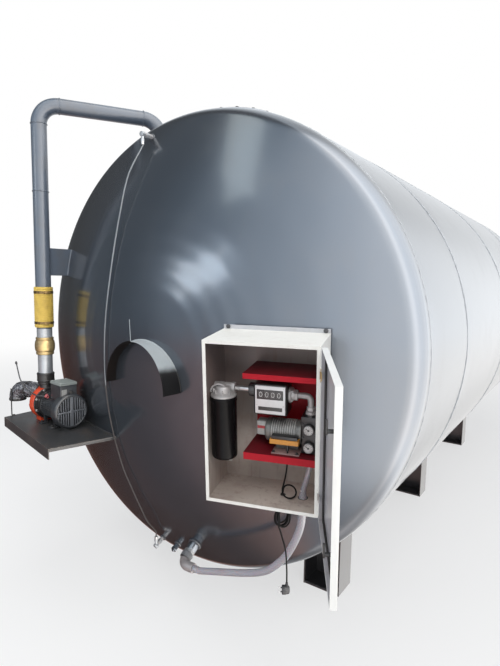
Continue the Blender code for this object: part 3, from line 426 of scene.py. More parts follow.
def addNode(tree, kind, given={}, **settings):
    node = tree.nodes.new(kind)
    for key, value in settings.items():
        setattr(node, key, value)
    for key, value in given.items():
        feed(tree, node.inputs[key], value)
    return node


def surfacePoint(tree):
    return addNode(tree, "ShaderNodeTexCoord").outputs["Object"]


def newGroup(name, inputs, outputs):
    # a group whose inputs, given with their first values, and outputs are plain numbers
    tree = bpy.data.node_groups.new(name, "ShaderNodeTree")
    for label, start in inputs.items():
        tree.interface.new_socket(name=label, in_out="INPUT",
            socket_type="NodeSocketFloat").default_value = start
    for label in outputs:
        tree.interface.new_socket(name=label, in_out="OUTPUT", socket_type="NodeSocketFloat")
    return tree, addNode(tree, "NodeGroupInput").outputs, addNode(tree,
        "NodeGroupOutput").inputs, surfacePoint(tree)


def mathNode(tree, operation, first, second=None, clamp=False):
    return addNode(tree, "ShaderNodeMath", {0: first, 1: second}, operation=operation,
        use_clamp=clamp).outputs[0]


def times(tree, first, second, clamp=False):
    return mathNode(tree, "MULTIPLY", first, second, clamp)


def plus(tree, first, second, clamp=False):
    return mathNode(tree, "ADD", first, second, clamp)


def rampNode(tree, value, low, high):
    given = {"Value": value, "From Min": low, "From Max": high}
    return addNode(tree, "ShaderNodeMapRange", given, interpolation_type="SMOOTHSTEP").outputs["Result"]


def noiseNode(tree, vector, scale, detail=3, rough=0.55):
    given = {"Vector": vector, "Scale": scale, "Detail": detail, "Roughness": rough}
    return addNode(tree, "ShaderNodeTexNoise", given).outputs["Fac"]


def mixColour(tree, factor, first, second, blend="MIX"):
    given = {0: factor, 6: first, 7: second}
    return addNode(tree, "ShaderNodeMix", given, data_type="RGBA", blend_type=blend).outputs[2]


def placeGroup(tree, group, **values):
    return addNode(tree, "ShaderNodeGroup", values, node_tree=group).outputs


def makeEdgeWear():
    # mask of rubbed edges, broken up by noise
    tree, given, result, point = newGroup("edgeWear", {"Radius": 0.003, "Scale": 60, "Amount": 0.5}, ["Mask"])
    soft = addNode(tree, "ShaderNodeBevel", {"Radius": given["Radius"]}, samples=4).outputs["Normal"]
    flat = addNode(tree, "ShaderNodeNewGeometry").outputs["Normal"]
    dot = addNode(tree, "ShaderNodeVectorMath", {0: soft, 1: flat}, operation="DOT_PRODUCT").outputs["Value"]
    edge = rampNode(tree, mathNode(tree, "SUBTRACT", 1, dot), 0.02, 0.2)
    spots = rampNode(tree, noiseNode(tree, point, given["Scale"], 4), 0.42, 0.6)
    feed(tree, result["Mask"], times(tree, times(tree, edge, spots), given["Amount"], True))
    return tree


def makeMarks():
    # mask of dust, smears and runs that reach down the surface
    tree, given, result, point = newGroup("marks", {"Scale": 6, "Runs": 0.4, "Amount": 0.5}, ["Mask",
        "Cloud"])
    cloud = noiseNode(tree, point, given["Scale"], 5, 0.62)
    squeeze = addNode(tree, "ShaderNodeMapping", {"Vector": point, "Scale": (6, 6, 0.5)}).outputs[0]
    runs = rampNode(tree, noiseNode(tree, squeeze, given["Scale"], 3), 0.52, 0.72)
    both = plus(tree, rampNode(tree, cloud, 0.45, 0.72), times(tree, runs, given["Runs"]), True)
    feed(tree, result["Mask"], times(tree, both, given["Amount"], True))
    feed(tree, result["Cloud"], cloud)
    return tree


def makeGrain():
    # height of a fine skin: orange peel on paint, sand grain on castings
    tree, given, result, point = newGroup("skinGrain", {"Scale": 300, "Coarse": 0.3}, ["Height"])
    fine = noiseNode(tree, point, given["Scale"], 2)
    slow = noiseNode(tree, point, times(tree, given["Scale"], 0.12), 2)
    feed(tree, result["Height"], plus(tree, fine, times(tree, slow, given["Coarse"])))
    return tree


edgeWear = makeEdgeWear()
marks = makeMarks()
skinGrain = makeGrain()


def localMasks(tree, frameHere):
    # coordinates of a shading point in a sub-assembly's own frame
    inverse = frameHere.inverted()
    given = {"Vector": surfacePoint(tree), "Location": inverse.to_translation(),
        "Rotation": inverse.to_euler()}
    return addNode(tree, "ShaderNodeSeparateXYZ", {0: addNode(tree, "ShaderNodeMapping",
        given).outputs[0]}).outputs


def startMaterial(name, roughness=0.5, metallic=0, coat=0, coatRough=0.1, specular=0.5):
    material = bpy.data.materials.new(name)
    material.use_nodes = True
    tree = material.node_tree
    sockets = tree.nodes["Principled BSDF"].inputs
    for label, value in (("Roughness", roughness), ("Metallic", metallic), ("Coat Weight", coat),
            ("Coat Roughness", coatRough), ("Specular IOR Level", specular)):
        sockets[label].default_value = value
    return material, tree, sockets


def addBump(tree, sockets, height, strength, distance):
    given = {"Strength": strength, "Distance": distance, "Height": height}
    feed(tree, sockets["Normal"], addNode(tree, "ShaderNodeBump", given).outputs[0])


def addGrain(tree, sockets, scale, coarse, strength, distance=0.0004):
    addBump(tree, sockets, placeGroup(tree, skinGrain, Scale=scale, Coarse=coarse)["Height"], strength,
        distance)


# what a finish has where its own line below doesn't say
plainFinish = dict(metallic=0, coat=0, coatRough=0.1, specular=0.5, dirt=0.3, dirtScale=8, dirtColour=(0.16,
    0.13, 0.1), wear=0, wearRadius=0.002, wearScale=80, wearColour=(0.3, 0.28, 0.26), grainScale=260,
    bump=0.15)


def makeFinish(name, look):
    # the common finish: two close colours, dust, rubbed edges, a fine skin
    look = {**plainFinish, "second": look["colour"], **look}
    material, tree, sockets = startMaterial(name, look["roughness"], look["metallic"], look["coat"],
        look["coatRough"], look["specular"])
    dirt = placeGroup(tree, marks, Scale=look["dirtScale"], Runs=0.3, Amount=look["dirt"])
    colour = mixColour(tree, dirt["Cloud"], look["colour"], look["second"])
    colour = mixColour(tree, dirt["Mask"], colour, look["dirtColour"])
    rough = plus(tree, times(tree, dirt["Mask"], 0.25), look["roughness"], True)
    if look["wear"]:
        rubbed = placeGroup(tree, edgeWear, Radius=look["wearRadius"], Scale=look["wearScale"],
            Amount=look["wear"])["Mask"]
        colour = mixColour(tree, rubbed, colour, look["wearColour"])
        rough = plus(tree, rough, times(tree, rubbed, 0.15), True)
    feed(tree, sockets["Base Color"], colour)
    feed(tree, sockets["Roughness"], rough)
    addGrain(tree, sockets, look["grainScale"], 0.4, look["bump"])
    return material


# finishes: base colours are linear
finishes = {
    "pipePaint": dict(colour=(0.085, 0.106, 0.14), second=(0.112, 0.136, 0.172), roughness=0.3, coat=0.35,
        coatRough=0.18, dirt=0.35, dirtColour=(0.1, 0.09, 0.08), wear=0.5, wearColour=(0.16, 0.15, 0.14),
        grainScale=180, bump=0.25),
    "legPaint": dict(colour=(0.01, 0.01, 0.012), second=(0.018, 0.018, 0.02), roughness=0.38, coat=0.3,
        coatRough=0.25, dirt=0.3, dirtColour=(0.09, 0.07, 0.055), wear=0.5, wearRadius=0.003,
        wearColour=(0.15, 0.13, 0.12), dirtScale=5),
    "shelfPaint": dict(colour=(0.028, 0.029, 0.031), second=(0.044, 0.045, 0.047), roughness=0.4, coat=0.25,
        coatRough=0.3, dirt=0.45, dirtColour=(0.08, 0.06, 0.048), wear=1, wearRadius=0.004,
        wearColour=(0.24, 0.2, 0.16), wearScale=45, dirtScale=12),
    "redPaint": dict(colour=(0.36, 0.012, 0.02), second=(0.27, 0.009, 0.015), roughness=0.42, coat=0.1,
        dirt=0.3, dirtColour=(0.1, 0.05, 0.04), wear=0.45, wearColour=(0.1, 0.03, 0.03)),
    "blackPlastic": dict(colour=(0.01, 0.01, 0.011), second=(0.016, 0.016, 0.017), roughness=0.34, dirt=0.2,
        dirtColour=(0.1, 0.09, 0.08), wear=0.25, wearColour=(0.06, 0.06, 0.06), grainScale=700, bump=0.1),
    "glossBlack": dict(colour=(0.006, 0.006, 0.007), second=(0.01, 0.01, 0.011), roughness=0.12, coat=1,
        coatRough=0.05, dirt=0.1, bump=0.03),
    "canBlack": dict(colour=(0.004, 0.004, 0.0045), second=(0.007, 0.006, 0.0065), roughness=0.22,
        specular=0.08, dirt=0.15, dirtColour=(0.02, 0.018, 0.017), bump=0.03),
    "cordBlack": dict(colour=(0.006, 0.006, 0.006), second=(0.009, 0.009, 0.009), roughness=0.6, specular=0.1,
        dirt=0.15, dirtColour=(0.03, 0.027, 0.025), bump=0.05),
    "rubber": dict(colour=(0.013, 0.013, 0.013), second=(0.022, 0.021, 0.02), roughness=0.62, dirt=0.25,
        dirtColour=(0.09, 0.08, 0.07), grainScale=500, bump=0.2),
    "castMetal": dict(colour=(0.34, 0.33, 0.33), second=(0.42, 0.41, 0.41), roughness=0.48, metallic=0.4,
        dirt=0.45, dirtColour=(0.12, 0.1, 0.09), wear=0.3, wearColour=(0.5, 0.5, 0.5), grainScale=240,
        bump=0.4),
    "brightSteel": dict(colour=(0.42, 0.42, 0.42), second=(0.5, 0.5, 0.5), roughness=0.34, metallic=0.8,
        dirt=0.4, dirtColour=(0.16, 0.14, 0.13), bump=0.08),
    "brass": dict(colour=(0.52, 0.39, 0.18), second=(0.44, 0.32, 0.15), roughness=0.34, metallic=0.7,
        dirt=0.5, dirtColour=(0.14, 0.1, 0.06), bump=0.2),
    "sleeveYellow": dict(colour=(0.7, 0.5, 0.1), second=(0.62, 0.42, 0.08), roughness=0.46, dirt=0.35,
        dirtColour=(0.3, 0.18, 0.05), dirtScale=22, bump=0.2),
    "pumpOrange": dict(colour=(0.68, 0.07, 0.018), second=(0.55, 0.05, 0.014), roughness=0.4, coat=0.2,
        dirt=0.3, dirtColour=(0.1, 0.05, 0.03), wear=0.4, wearColour=(0.2, 0.06, 0.04), bump=0.35),
    "switchOrange": dict(colour=(0.62, 0.27, 0.035), second=(0.54, 0.22, 0.03), roughness=0.36, dirt=0.2,
        dirtColour=(0.25, 0.12, 0.05), bump=0.05),
    "transferGrey": dict(colour=(0.13, 0.13, 0.125), second=(0.19, 0.185, 0.175), roughness=0.38,
        metallic=0.35, dirt=0.5, dirtColour=(0.05, 0.045, 0.04), dirtScale=30, bump=0.3),
    "meterFace": dict(colour=(0.5, 0.5, 0.51), second=(0.58, 0.58, 0.59), roughness=0.34, metallic=0.3,
        dirt=0.25, dirtColour=(0.28, 0.27, 0.26), bump=0.05),
    "dialFace": dict(colour=(0.62, 0.6, 0.59), second=(0.54, 0.52, 0.51), roughness=0.4, dirt=0.4,
        dirtColour=(0.22, 0.17, 0.16), dirtScale=40),
    "motorGrey": dict(colour=(0.05, 0.053, 0.058), second=(0.07, 0.073, 0.08), roughness=0.42, metallic=0.15,
        dirt=0.35, dirtColour=(0.12, 0.1, 0.085), wear=0.4, wearColour=(0.2, 0.2, 0.2), bump=0.3),
    # rubbed edges are pale partly as wear and partly as a painted highlight on the fan cover's rim
    "coverDark": dict(colour=(0.02, 0.023, 0.027), second=(0.032, 0.036, 0.042), roughness=0.34, coat=0.3,
        coatRough=0.2, dirt=0.3, dirtColour=(0.12, 0.11, 0.1), wear=0.5, wearColour=(0.2, 0.21, 0.22),
        bump=0.25),
    "coverGrey": dict(colour=(0.3, 0.31, 0.33), second=(0.38, 0.39, 0.41), roughness=0.36, metallic=0.35,
        dirt=0.3, dirtColour=(0.14, 0.12, 0.11), wear=0.3, wearColour=(0.55, 0.55, 0.55)),
    "grille": dict(colour=(0.11, 0.12, 0.135), second=(0.17, 0.18, 0.2), roughness=0.4, metallic=0.2,
        dirt=0.4, dirtColour=(0.05, 0.05, 0.05), bump=0.2),
    "galvanised": dict(colour=(0.34, 0.36, 0.38), second=(0.44, 0.46, 0.48), roughness=0.34, metallic=0.45,
        dirt=0.35, dirtColour=(0.14, 0.14, 0.14), dirtScale=20, bump=0.25),
    "clampBrown": dict(colour=(0.2, 0.13, 0.045), second=(0.12, 0.08, 0.035), roughness=0.36, metallic=0.7,
        dirt=0.6, dirtColour=(0.05, 0.035, 0.02), dirtScale=60, bump=0.3),
    # near-black brown: painted shade inside the hood and on the left of its front rim
    "sootBrown": dict(colour=(0.004, 0.0035, 0.0035), second=(0.007, 0.0055, 0.005), roughness=0.7,
        specular=0.1, dirt=0.3, dirtColour=(0.016, 0.01, 0.008)),
    "tubeStained": dict(colour=(0.05, 0.046, 0.046), second=(0.085, 0.075, 0.073), roughness=0.3,
        specular=0.3, dirt=0.4, dirtColour=(0.03, 0.022, 0.02)),
    "mountGrey": dict(colour=(0.5, 0.51, 0.54), second=(0.44, 0.45, 0.48), roughness=0.38, dirt=0.35,
        dirtColour=(0.26, 0.24, 0.23), grainScale=420, bump=0.08),
    "lidGrey": dict(colour=(0.2, 0.225, 0.215), second=(0.27, 0.295, 0.285), roughness=0.4, dirt=0.35,
        dirtColour=(0.12, 0.12, 0.115), bump=0.15),
    "basePink": dict(colour=(0.3, 0.2, 0.19), second=(0.24, 0.15, 0.145), roughness=0.5, dirt=0.4,
        dirtColour=(0.12, 0.08, 0.07), bump=0.1),
    "finGrey": dict(colour=(0.3, 0.3, 0.29), second=(0.38, 0.37, 0.36), roughness=0.42, metallic=0.2,
        dirt=0.4, dirtColour=(0.1, 0.09, 0.08), dirtScale=30, bump=0.2),
    "outletMetal": dict(colour=(0.38, 0.36, 0.36), second=(0.3, 0.26, 0.26), roughness=0.42, metallic=0.4,
        dirt=0.6, dirtColour=(0.085, 0.045, 0.04), dirtScale=14, bump=0.5),
    "seamBead": dict(colour=(0.3, 0.32, 0.345), second=(0.66, 0.69, 0.72), roughness=0.5, dirtScale=16,
        dirt=0.5, dirtColour=(0.07, 0.075, 0.085), bump=0.3),
    "paperWhite": dict(colour=(0.66, 0.66, 0.65), second=(0.56, 0.56, 0.54), roughness=0.55, dirt=0.3,
        dirtColour=(0.4, 0.37, 0.33), bump=0.05),
    "plateGrey": dict(colour=(0.42, 0.42, 0.41), second=(0.34, 0.34, 0.33), roughness=0.45, dirt=0.4,
        dirtColour=(0.16, 0.15, 0.14), bump=0.05),
    "pinkKnob": dict(colour=(0.55, 0.115, 0.125), second=(0.45, 0.09, 0.1), roughness=0.35, bump=0.05),
    # near black that stands for painted shade in slots and behind the fan grille
    "darkGap": dict(colour=(0.004, 0.004, 0.004), roughness=0.8, bump=0, dirt=0),
    "whiteTie": dict(colour=(0.76, 0.75, 0.73), roughness=0.4, dirt=0.1, bump=0.05),
    "plugGrey": dict(colour=(0.03, 0.031, 0.035), second=(0.042, 0.043, 0.047), roughness=0.45, dirt=0.2,
        bump=0.1, wear=0.2, wearColour=(0.1, 0.1, 0.1)),
}
paint = {name: makeFinish(name, look) for name, look in finishes.items()}


def makeTankPaint():
    # deep gloss enamel, rippled where the plate was dished and rolled, with dust and brush marks
    material, tree, sockets = startMaterial("tankPaint", 0.24, 0.75, 0.5, 0.12, 0.6)
    sockets["Coat IOR"].default_value = 1.6
    dirt = placeGroup(tree, marks, Scale=2.2, Runs=0.5, Amount=0.2)
    colour = mixColour(tree, dirt["Cloud"], (0.1, 0.116, 0.138), (0.12, 0.136, 0.16))
    colour = mixColour(tree, dirt["Mask"], colour, (0.135, 0.132, 0.132))
    rubbed = placeGroup(tree, edgeWear, Radius=0.004, Scale=40, Amount=0.4)["Mask"]
    feed(tree, sockets["Base Color"], mixColour(tree, rubbed, colour, (0.15, 0.15, 0.16)))
    feed(tree, sockets["Roughness"], plus(tree, times(tree, dirt["Mask"], 0.2), 0.22, True))
    addGrain(tree, sockets, 60, 2, 0.006, 0.0006)
    return material


def makeClearHose():
    # milky plastic hose with a woven thread inside its wall
    material, tree, sockets = startMaterial("clearHose", 0.16, 0, 0.7, 0.06)
    sockets["Subsurface Weight"].default_value = 0.3
    sockets["Subsurface Scale"].default_value = 0.004
    where = addNode(tree, "ShaderNodeTexCoord").outputs["UV"]
    split = addNode(tree, "ShaderNodeSeparateXYZ", {0: where}).outputs
    round8, along = times(tree, split["X"], 8), times(tree, split["Y"], 55)
    threads = [rampNode(tree, mathNode(tree, "SINE", times(tree, mathNode(tree, operation, round8, along),
        2 * pi)), 0.8, 0.97) for operation in ("ADD", "SUBTRACT")]
    weave = mathNode(tree, "MAXIMUM", *threads)
    cloud = placeGroup(tree, marks, Scale=30, Runs=0, Amount=0.35)
    wall = mixColour(tree, cloud["Cloud"], (0.31, 0.29, 0.33), (0.41, 0.39, 0.43))
    wall = mixColour(tree, cloud["Mask"], wall, (0.26, 0.19, 0.185))
    feed(tree, sockets["Base Color"], mixColour(tree, times(tree, weave, 0.6), wall, (0.54, 0.53, 0.57)))
    addBump(tree, sockets, weave, 0.12, 0.0005)
    return material


def makeGaugeTube():
    # thin clear tube with a little fuel stain in it
    material, tree, sockets = startMaterial("gaugeTubeClear", 0.1, 0, 0.8, 0.04)
    cloud = placeGroup(tree, marks, Scale=14, Runs=0.2, Amount=0.3)
    wall = mixColour(tree, cloud["Cloud"], (0.12, 0.145, 0.165), (0.18, 0.205, 0.23))
    feed(tree, sockets["Base Color"], mixColour(tree, cloud["Mask"], wall, (0.09, 0.09, 0.08)))
    sockets["Transmission Weight"].default_value = 0.15
    return material


def makeFilm():
    # black wrapping with crumpled silvery film over it
    material, tree, sockets = startMaterial("wrapFilm", 0.24, 0, 0.5, 0.12)
    point = surfacePoint(tree)
    swirl = addNode(tree, "ShaderNodeTexNoise", {"Vector": point, "Scale": 18}).outputs["Color"]
    shrink = addNode(tree, "ShaderNodeVectorMath", {0: swirl, "Scale": 0.06}, operation="SCALE").outputs[0]
    warp = addNode(tree, "ShaderNodeVectorMath", {0: point, 1: shrink}, operation="ADD").outputs[0]
    creases = addNode(tree, "ShaderNodeTexVoronoi", {"Vector": warp, "Scale": 42}, feature="DISTANCE_TO_EDGE")
    fold = rampNode(tree, creases.outputs["Distance"], 0, 0.1)
    cloud = placeGroup(tree, marks, Scale=26, Runs=0.6, Amount=1)
    silver = mixColour(tree, fold, (0.36, 0.36, 0.39), (0.07, 0.07, 0.08))
    feed(tree, sockets["Base Color"], mixColour(tree, cloud["Mask"], silver, (0.007, 0.007, 0.008)))
    addBump(tree, sockets, fold, 0.6, 0.002)
    return material


def makeWeldMetal():
    material, tree, sockets = startMaterial("weldMetal", 0.32, 0, 0.7, 0.08)
    cloud = placeGroup(tree, marks, Scale=35, Runs=0, Amount=0.5)
    colour = mixColour(tree, cloud["Cloud"], (0.03, 0.036, 0.046), (0.055, 0.062, 0.075))
    feed(tree, sockets["Base Color"], mixColour(tree, cloud["Mask"], colour, (0.1, 0.09, 0.085)))
    addGrain(tree, sockets, 220, 1, 0.5, 0.001)
    return material


def makeHoodPaint():
    # painted light and shade: lit light grey on top, and near black lower ends for painted shade and a
    # painted reflection of dark ground
    material, tree, sockets = startMaterial("hoodPaint", 0.46, 0, 0.1, 0.25, 0.3)
    at = localMasks(tree, moved(place(0, 0, 0)))
    cloud = placeGroup(tree, marks, Scale=16, Runs=0.3, Amount=0.5)
    # painted light and shade: above this height the hood is lit grey, below it near black
    light = rampNode(tree, plus(tree, at["Z"], times(tree, cloud["Cloud"], 0.02)), -0.076, -0.038)
    paintedLitGrey = mixColour(tree, cloud["Cloud"], (0.34, 0.38, 0.4), (0.44, 0.47, 0.49))
    paintedLitGrey = mixColour(tree, times(tree, cloud["Mask"], 0.5), paintedLitGrey, (0.26, 0.26, 0.26))
    feed(tree, sockets["Base Color"], mixColour(tree, light, (0.007, 0.0065, 0.007), paintedLitGrey))
    addGrain(tree, sockets, 160, 0.8, 0.2, 0.0005)
    return material


def makeBracketPaint():
    # bright red, with painted shade darkening the faces that look up
    material, tree, sockets = startMaterial("bracketPaint", 0.45, 0, 0, 0.2, 0.15)
    flat = addNode(tree, "ShaderNodeNewGeometry").outputs["Normal"]
    # painted shade: the more a face looks up, the darker red it takes
    film = rampNode(tree, addNode(tree, "ShaderNodeSeparateXYZ", {0: flat}).outputs["Z"], 0.3, 0.9)
    cloud = placeGroup(tree, marks, Scale=14, Runs=0.3, Amount=0.5)["Cloud"]
    red = mixColour(tree, cloud, (0.44, 0.012, 0.024), (0.34, 0.01, 0.018))
    paintedShade = mixColour(tree, cloud, (0.15, 0.008, 0.014), (0.09, 0.008, 0.012))
    feed(tree, sockets["Base Color"], mixColour(tree, film, red, paintedShade))
    addGrain(tree, sockets, 260, 0.4, 0.12)
    return material


def maskWithin(tree, at, start, limits):
    # a mask that fades out within about a millimetre of each limit
    for axis, low, high in limits:
        start = times(tree, start, rampNode(tree, at[axis], low, high))
    return start


def makeCabinetInside():
    # white outside; inside, painted mauve-brown shade that deepens towards the top and the left, with smudges
    # of dirt
    material, tree, sockets = startMaterial("cabinetPaint", 0.38, 0, 0.15, 0.2)
    at = localMasks(tree, cabinetFrame)
    width, height, depth = cabinet["width"], cabinet["height"], cabinet["depth"]
    inside = maskWithin(tree, at, rampNode(tree, at["Y"], 0.0025, 0.012), (("X", 0.0006, 0.0014),
        ("Z", -0.0006, -0.0014), ("X", width - 0.0006, width - 0.0014), ("Z", 0.0006 - height,
        0.0014 - height), ("Y", depth - 0.0006, depth - 0.0014)))
    cloud = placeGroup(tree, marks, Scale=7, Runs=0.8, Amount=1)["Mask"]
    # painted shade inside: beige where light reaches, dark mauve-brown towards the top and the left; dirt
    # smudges are mixed over it
    high, leftward = rampNode(tree, at["Z"], -0.6, -0.05), rampNode(tree, at["X"], 0.4, 0.02)
    shade = plus(tree, times(tree, high, 0.55), times(tree, leftward, 0.45), True)
    film = mixColour(tree, shade, (0.58, 0.52, 0.46), (0.14, 0.108, 0.105))
    film = mixColour(tree, times(tree, cloud, 0.5), film, (0.22, 0.15, 0.13))
    white = mixColour(tree, times(tree, cloud, 0.16), (0.8, 0.79, 0.75), (0.45, 0.4, 0.34))
    rubbed = placeGroup(tree, edgeWear, Radius=0.0015, Scale=90, Amount=0.2)["Mask"]
    colour = mixColour(tree, inside, white, film)
    feed(tree, sockets["Base Color"], mixColour(tree, rubbed, colour, (0.36, 0.31, 0.27)))
    addGrain(tree, sockets, 420, 0.4, 0.04)
    return material


def makeDoorPaint():
    # white leaf whose tray, open to the cabinet, is painted grey as shade
    material, tree, sockets = startMaterial("doorPaint", 0.3, 0, 0.3, 0.15)
    at = localMasks(tree, doorFrame)
    left, right, inner, outer = doorEdges
    height = cabinet["height"]
    inside = maskWithin(tree, at, rampNode(tree, at["Y"], inner - 0.0002, inner - 0.001),
        (("X", left + 0.0012, left + 0.0018), ("X", right - 0.0012, right - 0.0018), ("Y", outer + 0.001,
        outer + 0.0016), ("Z", -0.0012, -0.0018), ("Z", 0.0012 - height, 0.0018 - height)))
    cloud = placeGroup(tree, marks, Scale=6, Runs=0.8, Amount=1)
    # painted shade: the tray inside the leaf is grey, with dirt marks over it
    shadeGreyAndDirt = mixColour(tree, cloud["Cloud"], (0.36, 0.35, 0.38), (0.46, 0.45, 0.47))
    shadeGreyAndDirt = mixColour(tree, times(tree, cloud["Mask"], 0.4), shadeGreyAndDirt, (0.3, 0.25, 0.24))
    white = mixColour(tree, times(tree, cloud["Mask"], 0.12), (0.8, 0.8, 0.78), (0.5, 0.46, 0.42))
    feed(tree, sockets["Base Color"], mixColour(tree, inside, white, shadeGreyAndDirt))
    addGrain(tree, sockets, 420, 0.4, 0.08)
    return material


paint.update(tank=makeTankPaint(), clearHose=makeClearHose(), gaugeTube=makeGaugeTube(), film=makeFilm(),
    weld=makeWeldMetal(), hood=makeHoodPaint(), bracket=makeBracketPaint(), cabinet=makeCabinetInside(),
    door=makeDoorPaint())
print("materials made")


# free cords: the suction hose and the power cord with its plug
hose = {"radius": 0.017, "thin": 0.0115, "port": (0.412, 0.12), "hole": (0.38, 0.13), "portEnd": -0.4823}
outlet = {"x": 0.098, "rise": -1.09, "radius": 0.03, "reach": 0.066, "corner": 0.062, "side": 0.085}


def outletFrame():
    # start of the outlet elbow, the way out of the head and the way to the right
    forward = headNormal(outlet["x"], outlet["rise"])
    start = onHead(outlet["x"], outlet["rise"]) + forward * (outlet["reach"] + seatGap)
    right = Vector((1, 0, 0))
    right = (right - forward * right.dot(forward)).normalized()
    return start, forward, right


def buildSuctionHose():
    start, forward, right = outletFrame()
    end = start + forward * outlet["corner"] + right * (outlet["side"] + seatGap)
    portX, portY = hose["port"]
    holeX, holeY = hose["hole"]
    inside = [(portX, portY, -0.515), (0.396, 0.125, -0.59), (holeX, holeY, -0.65), (holeX, holeY, -0.71)]
    route = [cabinetFrame @ Vector(p) for p in inside]
    free = [(0.842, -0.332, -0.687), (0.793, -0.325, -0.805), (0.741, -0.318, -0.88), (0.66, -0.308, -0.96),
        (0.532, -0.29, -1.028), (0.338, -0.272, -1.103)]
    route += [place(*p) for p in free] + [end + right * 0.04]
    exitPoint = cabinetFrame @ Vector((portX, portY, hose["portEnd"]))
    path = [exitPoint] + smoothRoute(route, 0.018) + [end]
    heights = [(cabinetFrame.inverted() @ p).z for p in path]

    def narrowed(k, t):
        share = min(1, max(0, (heights[k] + 0.672) / 0.03))
        return hose["radius"] + (hose["thin"] - hose["radius"]) * share
    shape = bmesh.new()
    addTube(shape, path, narrowed, 32, 0)
    towards = (path[1] - path[0]).normalized()
    addDisc(shape, path[0], path[0] + towards * 0.03, 0.014, 0.002, 36, 1)
    addDisc(shape, path[0] + towards * 0.01, path[0] + towards * 0.02, 0.0158, 0.001, 36, 1)
    floorPoint = Vector((holeX, holeY, -0.676))
    addLathe(shape, [(0, 0), (0.015, 0), (0.0152, 0.002), (0.0145, 0.012), (0.013, 0.02), (0.0125, 0.034), (0,
        0.035)], cabinetFrame @ moved(floorPoint), 40, 2)
    towards = (path[-2] - path[-1]).normalized()
    for step in (0.01, 0.02):
        addDisc(shape, path[-1] + towards * step, path[-1] + towards * (step + 0.006), hose["radius"]
            + 0.0015, 0.0008, 36, 1)
    piece = finishPiece("suction_hose_braided", shape, "clearHose brightSteel paperWhite", "suction_hose")


cord = {"loop": (0.329, 0.095, -0.644), "loopHalf": 0.0282, "radius": 0.0035, "hankTurns": 4,
    "hankHalf": 0.0305, "hankTop": -0.0335, "hankLow": -0.1235, "hankSide": 0.0146, "drop": 0.105}
hankFrame = moved(cabinetFrame @ Vector((0.295, 0.131, -0.7))) @ turned(radians(60), "Z") @ facingFront


def longLoop(share, width, stretch):
    # a point on a long loop with round ends, from the middle of its left side downwards
    arc = pi * width
    walked = share * (4 * stretch + 2 * arc)
    if walked < stretch:
        return -width, -walked
    walked -= stretch
    if walked < arc:
        return -width * cos(walked / width), -stretch - width * sin(walked / width)
    walked -= arc
    if walked < 2 * stretch:
        return width, walked - stretch
    walked -= 2 * stretch
    if walked < arc:
        return width * cos(walked / width), stretch + width * sin(walked / width)
    return -width, stretch - (walked - arc)


def powerCordPath():
    inside = [(0.327, 0.07, -0.4503), (0.327, 0.07, -0.49), (0.32, 0.079, -0.55), (0.308, 0.0885, -0.605),
        (0.3022, 0.0925, -0.6255)]
    loop = cord["loop"]
    for k in range(13):
        angle = pi + 2 * pi * k / 12
        inside.append((loop[0] + cord["loopHalf"] * cos(angle), loop[1] + 0.013 * k / 12, loop[2]
            + cord["loopHalf"] * sin(angle)))
    inside.append((0.2992, 0.1118, -0.6575))
    route = [cabinetFrame @ Vector(p) for p in inside]
    half, top, low = cord["hankHalf"], cord["hankTop"], cord["hankLow"]
    route += [hankFrame @ Vector(p) for p in ((-0.0115, 0.03, 0.0075), (-0.0045, 0.004, -0.002), (-0.0055,
        -0.02, -0.0118), (-0.015, -0.044, -0.016), (-0.025, -0.062, -0.0156))]
    first = -cord["hankSide"]
    steps = 16
    pitch = 2 * cord["hankSide"] / cord["hankTurns"]
    for k in range(cord["hankTurns"] * steps + 1):
        turn = k / steps
        width = half - 0.0026 * (1 - cos(pi * turn)) - 0.0006 * turn
        lowHere = low + 0.0095 * (1 - cos(2.2 * turn))
        x, y = longLoop(turn % 1, width, (top - lowHere) / 2 - width)
        x += 0.005 * sin(2.4 * turn)
        y += (top + lowHere) / 2
        route.append(hankFrame @ Vector((x, y, first + pitch * turn)))
    route += [hankFrame @ Vector(p) for p in ((-0.0275, -0.104, 0.0166), (-0.017, -0.134, 0.0166), (-0.004,
        -0.166, 0.008))]
    start = hankFrame @ Vector((0, -cord["drop"] - 0.0006, 0))
    route += [start + Vector(p) for p in ((0.016, 0.005, -0.12), (0.023, 0.007, -0.2), (0.025, 0.007,
        -0.262))]
    return smoothRoute(route, 0.0085)


def buildPowerCord():
    path = powerCordPath()
    shape = bmesh.new()
    addTube(shape, path, cord["radius"], 12, 0)
    piece = finishPiece("power_cord", shape, "cordBlack", "power_cord_upper cord_bundle power_cord_lower",
        angle=60)
    tie = bmesh.new()
    ring = []
    for t in turns(28):
        x = 0.0305 + 0.0052 * copysign(abs(cos(t)) ** 0.7, cos(t))
        ring.append(hankFrame @ Vector((x, -0.052 + 0.002 * sin(2 * t), 0.02 * copysign(abs(sin(t)) ** 0.8,
            sin(t)))))
    addTube(tie, ring, 0.0016, 8, 0, False, True)
    for lift, reach in ((0.006, 0.02), (-0.003, 0.024)):
        tail = [hankFrame @ Vector(p) for p in ((0.0355, -0.052, 0.004), (0.0405, -0.05 + lift * 0.4, 0.006),
            (0.0355 + reach * 0.6, -0.048 + lift, 0.008), (0.0355 + reach, -0.047 + lift * 1.6, 0.009))]
        addTube(tie, smoothRoute(tail, 0.003), 0.0013, 8, 0)
    tiePiece = finishPiece("cord_tie", tie, "whiteTie")
    plugPiece = buildPlug(path[-1])


